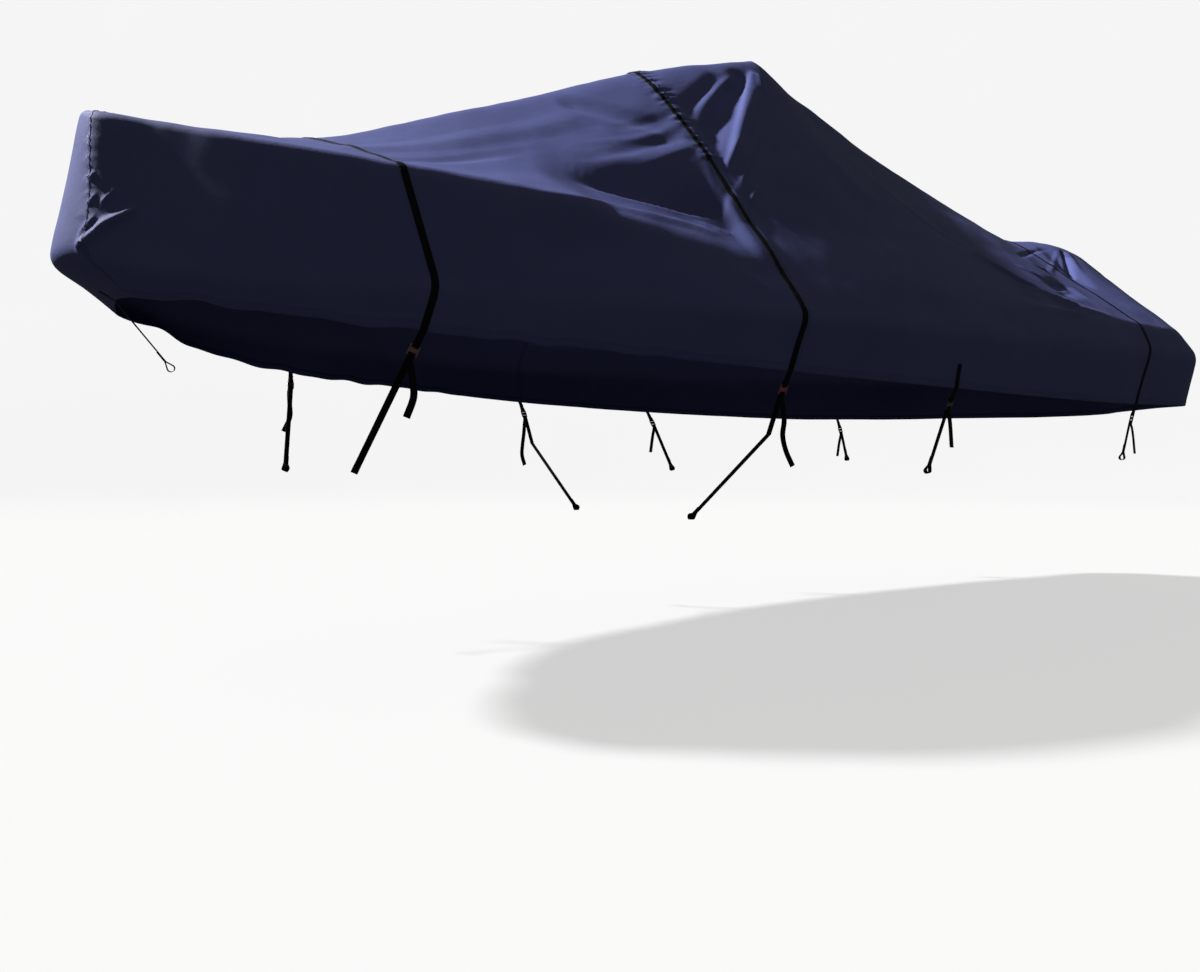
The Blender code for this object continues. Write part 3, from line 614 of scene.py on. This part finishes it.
def winds_back(rings):
    """Whether the rings turn against the way in which they follow each other."""
    middle = rings[0].mean(0)
    turn = np.cross(rings[0] - middle, np.roll(rings[0], -1, axis=0) - middle).sum(0)
    return turn @ (rings[1].mean(0) - middle) < 0


def finish_piece(obj, slot, *nodes):
    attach(obj, "root")
    if nodes:
        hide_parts(*nodes)
    return obj


# ------------------------------------------------------------------ cloth


def cloth_panel(name, skin, at, material):
    points, _ = skin.rows(at)
    rows, columns = points.shape[:2]
    steps = np.linalg.norm(np.diff(points, axis=1), axis=2)
    girth = np.concatenate([np.zeros((rows, 1)), np.cumsum(steps, axis=1)], axis=1)
    girth -= girth[:, [columns // 2]]
    along = np.broadcast_to(np.asarray(at)[:, None], girth.shape)
    uv = np.stack([along, girth], axis=-1).reshape(-1, 2)
    faces = grid_faces(rows, columns)
    obj = add_mesh(name, points.reshape(-1, 3), faces, material, uv)
    wear = obj.data.attributes.new("wear", "FLOAT", "POINT")
    wear.data.foreach_set("value", np.tile(edge_wear(columns), rows).astype(np.float32))
    return obj


def edge_wear(columns):
    """How much each column of a section is rubbed pale: the gunwale, the edge and the ridge."""
    half = np.zeros(columns // 2 + 1)
    places = np.arange(len(half))
    gunwale = SKIRT_STEPS + GUNWALE_STEPS / 2
    edge = SKIRT_STEPS + GUNWALE_STEPS + SIDE_STEPS + EDGE_STEPS / 2
    ridge = len(half) - 1
    for centre, reach, amount in ((gunwale, 3, 0.6), (edge, 6, 0.8), (ridge, 3, 1.0)):
        half = np.maximum(half, amount * np.exp(-((places - centre) / reach) ** 2))
    return np.concatenate([half, half[-2::-1]])


ROW_APART = 0.002  # rows of a panel stand at least this far from its ends
SEAM_HALF = 0.009
SEAM_PROUD = 0.0016
# A seam's cross section, in half widths from its middle and in heights above the cloth.
SEAM_OFFSETS = np.array([-1.0, -0.94, -0.6, 0.0, 0.6, 0.94, 1.0])
SEAM_LIFTS = np.array([-0.4, 0.9, 1.0, 1.05, 1.0, 0.9, -0.4])
SEAM_STITCHED = (2, 4)  # the offsets with stitches on them
STITCH_LENGTH, STITCH_WIDE, STITCH_PITCH = 0.0034, 0.0010, 0.0050
STITCH_LOOK = 0.001  # how far ahead and back a stitch's direction is read
HEM_WIDTH = 0.028
HEM_STITCHED = (0.005, HEM_WIDTH - 0.004)  # heights of the hem's two rows of stitches
HEM_PROUD = 0.0016
# The hem's folded cloth round the cut edge: (up from the edge, outward).
HEM_PROFILE = [(HEM_WIDTH, -0.0002), (HEM_WIDTH - 0.0008, 0.0013), (0.018, 0.0015), (0.008, 0.0016),
               (0.001, 0.0017), (-0.0018, 0.0006), (-0.0024, -0.0008), (-0.0012, -0.0026),
               (0.004, -0.0032), (0.016, -0.0031), (HEM_WIDTH - 0.003, -0.0029),
               (HEM_WIDTH - 0.002, -0.0018)]


def seam_strip(name, skin, seam, material, thread):
    """Two layers of cloth lapped at a seam, with a row of stitches along each side."""
    points, normals = skin.rows(seam + SEAM_OFFSETS * SEAM_HALF)
    top = points + normals * (SEAM_LIFTS * SEAM_PROUD)[:, None, None]
    under = points[::-1] - normals[::-1] * CLOTH
    rings = np.concatenate([top, under[1:-1]]).transpose(1, 0, 2)
    strip = loft(name, rings, material)
    runs = [(top[i], normals[i]) for i in SEAM_STITCHED]
    return strip, stitches(name + "_stitches", runs, thread)


def read_at(places, lengths, vectors):
    """The vectors of a line's points, read off at these distances along it."""
    return np.stack([np.interp(places, lengths, vectors[:, k]) for k in range(3)], axis=1)


def stitches(name, runs, material):
    """Rows of stitches along runs of points, each a small pill half sunk in what it holds."""
    centres, ways, ups = [], [], []
    for points, normals in runs:
        lengths = distances(points)
        places = np.arange(STITCH_PITCH / 2, lengths[-1], STITCH_PITCH)
        ahead, back = (read_at(places + look, lengths, points) for look in (STITCH_LOOK, -STITCH_LOOK))
        centres.append(read_at(places, lengths, points))
        ways.append(unit(ahead - back))
        ups.append(unit(read_at(places, lengths, normals)))
    centre, way, up = (np.concatenate(group) for group in (centres, ways, ups))
    side = np.cross(up, way)
    half, wide = STITCH_LENGTH / 2, STITCH_WIDE / 2
    corners = [(-half, 0, 0), (-half / 2, wide, 0), (-half / 2, 0, wide), (-half / 2, -wide, 0),
               (half / 2, wide, 0), (half / 2, 0, wide), (half / 2, -wide, 0), (half, 0, 0)]
    points = np.stack([centre + way * a + side * b + up * c for a, b, c in corners], axis=1)
    pill = [(0, 2, 1), (0, 3, 2), (1, 2, 5, 4), (2, 3, 6, 5), (4, 5, 7), (5, 6, 7)]
    faces = [tuple(8 * i + j for j in face) for i in range(len(centre)) for face in pill]
    return add_mesh(name, points.reshape(-1, 3), faces, material)


def hem(name, skin, path, material, thread):
    """The folded hem along a path of (distance, side), side 0 for port and -1 for starboard."""
    edge, up, out = [], [], []
    for s, column in path:
        points, normals = skin.rows([s])
        inner = 1 if column == 0 else -2
        edge.append(points[0, column])
        up.append(unit(points[0, inner] - points[0, column]))
        out.append(normals[0, column])
    edge, up, out = (np.array(group) for group in (edge, up, out))
    rings = np.stack([edge + up * a + out * b for a, b in HEM_PROFILE], axis=1)
    band = loft(name, rings, material)
    runs = [(edge + up * a + out * HEM_PROUD, out) for a in HEM_STITCHED]
    return band, stitches(name + "_stitches", runs, thread)


def make_cloth(skin, cloth, hem_cloth, thread):
    lines = skin.lines
    every = stations(lines)
    nose = lines.place("nose_seam")
    seam = lines.place("mid_strap") + SEAM_BEHIND_STRAP
    start, end = every[0], every[-1]

    def rows(low, high):
        return [low, *[s for s in every if low + ROW_APART < s < high - ROW_APART], high]

    spans = {"nose": (start, nose - SEAM_GAP / 2), "fore": (nose + SEAM_GAP / 2, seam - SEAM_GAP / 2),
             "aft": (seam + SEAM_GAP / 2, end)}
    at = {name: rows(*span) for name, span in spans.items()}
    panels = {}
    for name in spans:
        panels[name] = cloth_panel(f"{name}_cloth", skin, at[name], cloth)
        finish_piece(panels[name], "cloth", f"{name}_panel")
    trims = {name: [] for name in spans}
    paths = {
        "nose": [(s, -1) for s in at["nose"][:0:-1]] + [(s, 0) for s in at["nose"]],
        "fore_port": [(s, 0) for s in at["fore"]],
        "fore_starboard": [(s, -1) for s in at["fore"][::-1]],
        "aft": [(s, 0) for s in at["aft"]] + [(s, -1) for s in at["aft"][-2::-1]],
    }
    for name, path in paths.items():
        every_other = path[::2] + [path[-1]] * (len(path) % 2 == 0)
        for piece in hem(f"{name}_hem", skin, every_other, hem_cloth, thread):
            trims[name.split("_")[0]].append(finish_piece(piece, "cloth"))
    for name, place, owner in (("nose", nose, "fore"), ("mid", seam, "aft")):
        for piece in seam_strip(f"{name}_seam", skin, place, hem_cloth, thread):
            trims[owner].append(finish_piece(piece, "cloth"))
    return panels, trims


# ------------------------------------------------------------------ webbing

# Half of the webbing's cross section with rounded edges: (share of the half width, share of the half
# thickness).
WEB_EDGE = [(-1.0, 0.0), (-0.97, 0.75), (-0.88, 1.0), (0.0, 1.0), (0.88, 1.0), (0.97, 0.75), (1.0, 0.0)]


STRAP_STEP, TAIL_STEP = 0.006, 0.012  # longest stretch between rings


def web_profile():
    under = [(a, -b) for a, b in WEB_EDGE[-2:0:-1]]
    return np.array([*WEB_EDGE, *under]) * (WEBBING_WIDTH / 2, WEBBING / 2)


def free_rings(points, across):
    """Rings of free webbing along points."""
    points = np.asarray(points)
    tangent = unit(np.gradient(points, axis=0))
    side = unit(across - tangent * (tangent @ across)[:, None])
    out = np.cross(tangent, side)
    return [np.array([point + side[i] * a + out[i] * b for a, b in web_profile()])
            for i, point in enumerate(points)]


RIDGE = SKIRT_STEPS + GUNWALE_STEPS + SIDE_STEPS + EDGE_STEPS + TOP_STEPS  # a section's middle column
HEM_RISE = {0: 0.0022, 1: 0.0008}  # how much higher webbing lies over the folded hem, by column


def cloth_rings(skin, place, columns):
    """Rings of webbing that lies on the cloth across the boat, over these columns of a section."""
    step = WEBBING_WIDTH / 2
    points, normals = skin.rows([place - step, place, place + step])
    points, normals = points[:, columns], normals[1, columns]
    down = unit(np.gradient(points[1], axis=0))
    lift = LIFT + WEBBING / 2 + np.array([HEM_RISE.get(min(j, 2 * RIDGE - j), 0.0) for j in columns])
    rings = []
    for j in range(len(columns)):
        ring = []
        for a, b in web_profile():
            way = unit(points[2, j] - points[1, j]) if a > 0 else unit(points[1, j] - points[0, j])
            slant = np.linalg.norm(np.cross(down[j], way))
            ring.append(points[1, j] + way * a / slant + normals[j] * (lift[j] + b))
        rings.append(np.array(ring))
    return rings


class Fastening:
    """The places of one tie-down's buckle, on the port side, in the plane that the webbing bends in."""

    def __init__(self, hem_point, outward, first_waypoint):
        self.hem = hem_point
        self.down = unit(np.array(first_waypoint) - hem_point)
        self.out = unit(outward - self.down * (outward @ self.down))
        self.across = np.cross(self.out, self.down)
        self.plate = -TURN + LIFT + WEBBING / 2
        self.top_bar = BUCKLE_DROP + BAR
        self.bottom_bar = BUCKLE_DROP + BUCKLE_LENGTH - BAR

    def at(self, down, outward):
        return self.hem + self.down * down + self.out * outward

    def turn(self, bar, sign):
        """Half a turn round a bar, from its front to its back."""
        angles = math.pi * np.arange(TURN_STEPS + 1) / TURN_STEPS
        return [self.at(bar + sign * TURN * math.sin(a), self.plate + TURN * math.cos(a))
                for a in angles]

    def strap_end(self):
        front, back = self.plate + TURN, self.plate - TURN
        behind = front - WEBBING - CLEAR
        start = [self.at(BUCKLE_DROP * u, front) for u in (1 / 6, 1 / 3, 2 / 3, 5 / 6)]
        end = [self.at(BUCKLE_DROP - BACK_BEND, back), self.at(BUCKLE_DROP - BACK_MEET, behind),
               self.at(BUCKLE_DROP - LAP, behind)]
        return [*start, *self.turn(self.top_bar, 1), *end]

    def tail(self, waypoints, loose):
        front = self.at(self.bottom_bar + FREE_START, self.plate + TURN)
        path = []
        for x, outward, down in reversed(loose):
            path.append(front + np.array([x, -outward - FREE_LEAN * down, -down]))
        path = list(through([*path, front], FREE_STEPS))
        path += self.turn(self.bottom_bar, -1)
        path.append(self.at(self.bottom_bar + TAIL_START, self.plate - TURN))
        path += [np.array(waypoint) for waypoint in waypoints[:-1]]
        return path + end_loop(path[-1], np.array(waypoints[-1]), self.across)


def end_loop(start, end, across):
    run = unit(end - start)
    side = unit(np.cross(across, run))
    lap = WEBBING + CLEAR
    neck = end - run * LOOP_NECK
    path = [neck - run * LAP, neck]
    centre = end + side * lap / 2
    for i in range(LOOP_STEPS + 1):
        angle = math.radians(LOOP_FROM + LOOP_TURN * i / LOOP_STEPS)
        path.append(centre + (run * math.sin(angle) - side * math.cos(angle)) * LOOP_RADIUS)
    return path + [neck + side * lap, neck + side * lap - run * LAP]


def filled(points, longest):
    """The same path with points added, so that no stretch is longer than this."""
    made = [points[0]]
    for a, b in zip(points, points[1:]):
        steps = max(1, math.ceil(np.linalg.norm(b - a) / longest))
        made += [a + (b - a) * i / steps for i in range(1, steps + 1)]
    return made


def flip(rings):
    """The same rings on the starboard side, turned so that they still face outward."""
    return [np.asarray(ring)[::-1] * (1, -1, 1) for ring in rings]


def add_web(name, rings, material):
    """Webbing over rings, in place of the node of this name."""
    finish_piece(loft(name + "_web", rings, material), "webbing", name)


def make_webbing(skin, black, finishes):
    lines = skin.lines
    for tie in TIE_DOWNS:
        sewn_on = tie.name == "side"
        place = side_tie_place(lines) if sewn_on else lines.place(tie.name + "_strap")
        points, normals = skin.rows([place])
        waypoints = [(x, -y, z) for x, y, z in tie.waypoints]
        ends = {}
        for side, column, sign in (("port", 0, 1), ("starboard", -1, -1)):
            flat = np.array([1, sign, 1])
            fastening = Fastening(points[0, column] * flat, normals[0, column] * flat, waypoints[0])
            ends[side] = free_rings(filled(fastening.strap_end(), STRAP_STEP), fastening.across)
            tail_path = filled(fastening.tail(waypoints, tie.loose), TAIL_STEP)
            tail = free_rings(tail_path, fastening.across)
            add_web(f"{tie.name}_tail_{side}", tail if sign > 0 else flip(tail), black)
            name = f"{tie.name}_buckle_{side}"
            finish_piece(buckle(name + "_frame", fastening, sign, finishes[tie.name]), "buckle", name)
        if sewn_on:
            lengths = np.linalg.norm(points[0, 0] - points[0, :RIDGE], axis=1)
            top = int(np.searchsorted(lengths, SIDE_TIE_LENGTH))
            reach = {"port": range(top, -1, -1), "starboard": range(2 * RIDGE - top, 2 * RIDGE + 1)}
            for side, columns in reach.items():
                rings = cloth_rings(skin, place, list(columns))
                rings += ends[side] if side == "port" else [ring * (1, -1, 1) for ring in ends[side]]
                add_web(f"side_tie_{side}", fix_order(rings), black)
            continue
        rings = cloth_rings(skin, place, list(range(2 * RIDGE, -1, -1)))
        starboard = [ring * (1, -1, 1) for ring in ends["starboard"]]
        strap = [*reversed(starboard), *rings, *ends["port"]]
        add_web(f"{tie.name}_strap", fix_order(strap), black)


def fix_order(rings):
    """Turns each ring so that its points follow those of the ring before it."""
    made = [rings[0]]
    for ring in rings[1:]:
        tries = [np.roll(way, k, axis=0) for way in (ring, ring[::-1]) for k in range(len(ring))]
        middle = made[-1].mean(0)
        made.append(min(tries, key=lambda t: ((t - t.mean(0) - made[-1] + middle) ** 2).sum()))
    return made


def make_bow_tie(skin, black):
    points, _ = skin.rows([skin.lines.place("nose")])
    hem_point, above = points[0, 0], points[0, 1]
    across = np.array([0.0, 1.0, 0.0])
    up = unit(above - hem_point)
    start = hem_point + np.cross(up, across) * (LIFT + WEBBING / 2)
    path = [start + up * BOW_TIE_SEWN, start, *end_loop(start, np.array(BOW_TIE_END), across)]
    rings = free_rings(filled(path, TAIL_STEP), across)
    add_web("bow_tie", rings, black)


# ------------------------------------------------------------------ buckles

MIDDLE_PLATE = 0.017  # height of the plate between the two slots
SLOT_EASE = 0.001  # how much further a slot reaches than the webbing, at each end
BUCKLE_ROUND, BUCKLE_ROUND_STEPS = 0.0014, 3


def buckle(name, fastening, sign, material):
    """A two-slot slide buckle: a rounded frame, two slots and a plate between them."""
    half_width, half_length = BUCKLE_WIDTH / 2, BUCKLE_LENGTH / 2
    slot_half = WEBBING_WIDTH / 2 + SLOT_EASE
    slots = [(MIDDLE_PLATE / 2, half_length - BAR), (BAR - half_length, -MIDDLE_PLATE / 2)]
    across = [-half_width, -slot_half, slot_half, half_width]
    down = [-half_length, slots[1][0], slots[1][1], slots[0][0], slots[0][1], half_length]
    mesh = bpy.data.meshes.new(name)
    cells = [(i, j) for i in range(3) for j in range(5) if not (i == 1 and j in (1, 3))]
    index = {(i, j): i * len(down) + j for i in range(len(across)) for j in range(len(down))}
    points = [(x, y, 0.0) for x in across for y in down]
    faces = [(index[i, j], index[i + 1, j], index[i + 1, j + 1], index[i, j + 1]) for i, j in cells]
    mesh.from_pydata(points, [], faces)
    mesh.materials.append(material)
    obj = add_object(name, mesh)
    thick = obj.modifiers.new("thickness", "SOLIDIFY")
    thick.thickness = BUCKLE_THICK
    thick.offset = 0
    soft = obj.modifiers.new("rounding", "BEVEL")
    soft.width = BUCKLE_ROUND
    soft.segments = BUCKLE_ROUND_STEPS
    flat = np.array([1, sign, 1])
    middle = fastening.at(BUCKLE_DROP + BUCKLE_LENGTH / 2, fastening.plate) * flat + TO_FRAME
    way, out = fastening.down * flat, fastening.out * flat
    side = np.cross(out, way)
    turn = Matrix((side, way, np.cross(side, way))).transposed()
    obj.matrix_world = Matrix.Translation(Vector(middle)) @ turn.to_4x4()
    mesh.shade_smooth()
    return obj


# ------------------------------------------------------------------ materials


class Finish:
    """A material or a world under construction: its nodes and the links between them."""

    def __init__(self, owner, shader="Principled BSDF"):
        self.owner = owner
        owner.use_nodes = True
        self.nodes = owner.node_tree.nodes
        self.shader = self.nodes[shader]

    def node(self, kind, settings=(), **inputs):
        made = self.nodes.new(kind)
        for key, value in dict(settings).items():
            setattr(made, key, value)
        self.fill(made, inputs)
        return made

    def fill(self, node, inputs):
        """Sets or links a node's sockets, by name with _ for a space, or by number."""
        for key, value in inputs.items():
            target = node.inputs[key.replace("_", " ") if isinstance(key, str) else key]
            if isinstance(value, bpy.types.NodeSocket):
                self.owner.node_tree.links.new(value, target)
            else:
                target.default_value = value

    def done(self, **inputs):
        """What was made, with its shader's sockets filled."""
        self.fill(self.shader, inputs)
        return self.owner

    def uv(self):
        return self.node("ShaderNodeUVMap", {"uv_map": "metres"}).outputs["UV"]

    def place(self):
        return self.node("ShaderNodeTexCoord").outputs["Object"]

    def noise(self, vector, scale, detail=3.0, rough=0.55):
        made = self.node("ShaderNodeTexNoise", Vector=vector, Scale=scale, Detail=detail,
                         Roughness=rough)
        return made.outputs["Fac"]

    def ribs(self, vector, direction, period):
        """Even ribs across one UV direction."""
        made = self.node("ShaderNodeTexWave", {"bands_direction": direction}, Vector=vector,
                         Scale=math.pi / 10 / period)
        return made.outputs["Fac"]

    def mix(self, factor, low, high):
        """A colour between low and high."""
        made = self.node("ShaderNodeMix", {"data_type": "RGBA"})
        low, high = ((*c, 1.0) if isinstance(c, tuple) else c for c in (low, high))
        self.fill(made, {0: factor, 6: low, 7: high})
        return made.outputs[2]

    def math(self, operation, a, b):
        made = self.node("ShaderNodeMath", {"operation": operation})
        self.fill(made, {0: a, 1: b})
        return made.outputs[0]

    def times(self, a, b):
        return self.math("MULTIPLY", a, b)

    def spread(self, value, low, high):
        """A value from 0 to 1 spread over low to high."""
        return self.node("ShaderNodeMapRange", Value=value, To_Min=low, To_Max=high).outputs[0]

    def bump(self, height, distance, strength, **normal):
        made = self.node("ShaderNodeBump", Height=height, Distance=distance, Strength=strength,
                         **normal)
        return made.outputs["Normal"]


def new_finish(name):
    return Finish(bpy.data.materials.new(name))


CLOTH_WEAVE = 0.0016  # the threads' pitch
WEB_RIBS, WEB_DIAGONAL = 0.0022, 0.0030


def cloth_finish(name, base, faded):
    """Coated polyester: a fine plain weave, faint mottling, rubbed edges and small crumples."""
    made = new_finish(name)
    uv, place = made.uv(), made.place()
    weave = made.times(made.ribs(uv, "X", CLOTH_WEAVE), made.ribs(uv, "Y", CLOTH_WEAVE))
    mottle = made.noise(place, 3.0, 4.0)
    fine = made.noise(place, 46.0, 5.0, 0.65)
    wear = made.node("ShaderNodeAttribute", {"attribute_name": "wear"}).outputs["Fac"]
    patch = made.times(wear, made.noise(place, 9.0, 3.0))
    blend = made.math("ADD", made.times(patch, 0.55), made.spread(mottle, -0.10, 0.40))
    shade = made.mix(blend, base, faded)
    crumple = made.bump(made.noise(place, 22.0, 4.0, 0.6), 0.004, 0.35)
    return made.done(Base_Color=made.mix(made.times(weave, 0.25), shade, faded),
                     Roughness=made.spread(fine, 0.62, 0.80), Specular_IOR_Level=0.06,
                     Normal=made.bump(weave, 0.0002, 0.5, Normal=crumple))


def web_finish(name, base, pale):
    """Woven webbing: ribs across it and a fine diagonal, with rubbed ribs."""
    made = new_finish(name)
    uv, place = made.uv(), made.place()
    ribs = made.ribs(uv, "Y", WEB_RIBS)
    height = made.math("ADD", ribs, made.times(made.ribs(uv, "DIAGONAL", WEB_DIAGONAL), 0.6))
    dust = made.times(made.noise(place, 30.0), ribs)
    return made.done(Base_Color=made.mix(made.times(dust, 0.6), base, pale),
                     Roughness=made.spread(made.noise(place, 60.0), 0.55, 0.75),
                     Specular_IOR_Level=0.05, Normal=made.bump(height, 0.0004, 0.7))


def plastic_finish(name, base, pale):
    """Moulded plastic: a slight grain and paler scuffs."""
    made = new_finish(name)
    place = made.place()
    scuff = made.spread(made.noise(place, 160.0, 5.0, 0.7), -0.5, 0.9)
    return made.done(Base_Color=made.mix(scuff, base, pale),
                     Roughness=made.spread(made.noise(place, 220.0), 0.28, 0.48),
                     Normal=made.bump(made.noise(place, 900.0), 0.0001, 0.4))


def thread_finish(name, base, pale):
    """Twisted thread."""
    made = new_finish(name)
    place = made.place()
    return made.done(Base_Color=made.mix(made.noise(place, 400.0), base, pale),
                     Roughness=made.spread(made.noise(place, 900.0), 0.45, 0.65))


def paper_finish():
    """Pale paper: the floor takes soft shadows, and the wall behind it glows evenly."""
    made = new_finish("pale_paper")
    across = made.node("ShaderNodeVectorMath", {"operation": "LENGTH"}, Vector=made.place())
    wall = made.node("ShaderNodeMapRange", {"interpolation_type": "SMOOTHSTEP"},
                     Value=across.outputs["Value"], From_Min=FLOOR_REACH, From_Max=STUDIO_RADIUS)
    wall = wall.outputs[0]
    return made.done(Base_Color=made.mix(wall, FLOOR_GREY, WALL_GREY), Roughness=1.0,
                     Specular_IOR_Level=0.0, Emission_Color=made.mix(wall, FLOOR_GLOW, WALL_GLOW),
                     Emission_Strength=made.spread(made.noise(made.place(), 0.5), 0.985, 1.0))


# ------------------------------------------------------------------ studio

STUDIO_RADIUS, STUDIO_HEIGHT = 26.0, 26.0
STUDIO_COVE, COVE_STEPS = STUDIO_RADIUS / 4, 12
STUDIO_WEDGE = 5  # degrees
FLOOR_START, FLOOR_RING = 0.001, 8.0
FLOOR_REACH = 9.0  # how far out the floor still takes shadows in full
FLOOR_GREY, WALL_GREY = (0.13, 0.13, 0.13), (0.0, 0.0, 0.0)
FLOOR_GLOW, WALL_GLOW = (0.62, 0.62, 0.62), (0.92, 0.92, 0.92)
SUN_FROM = (-0.51, 0.55, 0.665)  # direction to the key light
SUN_STRENGTH = 11.5
SUN_ANGLE = 4.0
FILL_ABOVE = (0.21, 0.20, 0.17)
FILL_BELOW = (0.12, 0.11, 0.10)


def make_studio():
    """A round pale cyclorama on the ground, a soft key light and a low even fill."""
    ground = float(TO_FRAME[2])
    cove, flat = STUDIO_COVE, STUDIO_RADIUS - STUDIO_COVE
    angles = np.radians(np.linspace(0, 90, COVE_STEPS + 1))
    profile = [(FLOOR_START, 0.0), (FLOOR_RING, 0.0), (flat, 0.0)]
    profile += [(flat + cove * math.sin(a), cove - cove * math.cos(a)) for a in angles[1:]]
    profile.append((STUDIO_RADIUS, STUDIO_HEIGHT))
    around = np.radians(np.arange(0, 360, STUDIO_WEDGE))
    points = [(r * math.cos(a), r * math.sin(a), z + ground) for r, z in profile for a in around]
    mesh = bpy.data.meshes.new("studio")
    mesh.from_pydata(points, [], grid_faces(len(profile), len(around), closed=True))
    mesh.shade_smooth()
    mesh.materials.append(paper_finish())
    studio = add_object("studio", mesh)
    studio.visible_diffuse = False
    studio.visible_glossy = False
    studio.visible_shadow = False

    sun = add_object("key", bpy.data.lights.new("key", "SUN"))
    sun.data.energy = SUN_STRENGTH
    sun.data.angle = math.radians(SUN_ANGLE)
    sun.rotation_mode = "QUATERNION"
    sun.rotation_quaternion = Vector(SUN_FROM).to_track_quat("Z", "Y")

    sky = Finish(bpy.data.worlds.new("fill"), "Background")
    way = sky.node("ShaderNodeTexCoord").outputs["Generated"]
    height = sky.node("ShaderNodeSeparateXYZ", Vector=way).outputs["Z"]
    blend = sky.node("ShaderNodeMapRange", Value=height, From_Min=-0.5, From_Max=0.5).outputs[0]
    bpy.context.scene.world = sky.done(Color=sky.mix(blend, FILL_BELOW, FILL_ABOVE))
    bpy.context.scene.view_settings.view_transform = "Standard"


# ------------------------------------------------------------------ the scene

make_camera()
lines = Lines()
skin = Skin(lines)
skin.add_creases()
skin.add_puckers()

navy = cloth_finish("navy_cloth", (0.047, 0.056, 0.160), (0.080, 0.092, 0.225))
navy_hem = cloth_finish("navy_hem", (0.043, 0.051, 0.148), (0.076, 0.087, 0.210))
black = web_finish("black_webbing", (0.0030, 0.0031, 0.0052), (0.0065, 0.0068, 0.0105))
thread = thread_finish("navy_thread", (0.026, 0.031, 0.080), (0.060, 0.068, 0.150))
brown = plastic_finish("brown_plastic", (0.115, 0.045, 0.036), (0.300, 0.170, 0.150))
crimson = plastic_finish("crimson_plastic", (0.130, 0.018, 0.036), (0.340, 0.120, 0.150))
dark = plastic_finish("black_plastic", (0.012, 0.012, 0.014), (0.060, 0.060, 0.064))

panels, trims = make_cloth(skin, navy, navy_hem, thread)
make_webbing(skin, black, {"fore": brown, "mid": crimson, "side": dark, "aft": dark})
make_bow_tie(skin, black)

make_studio()
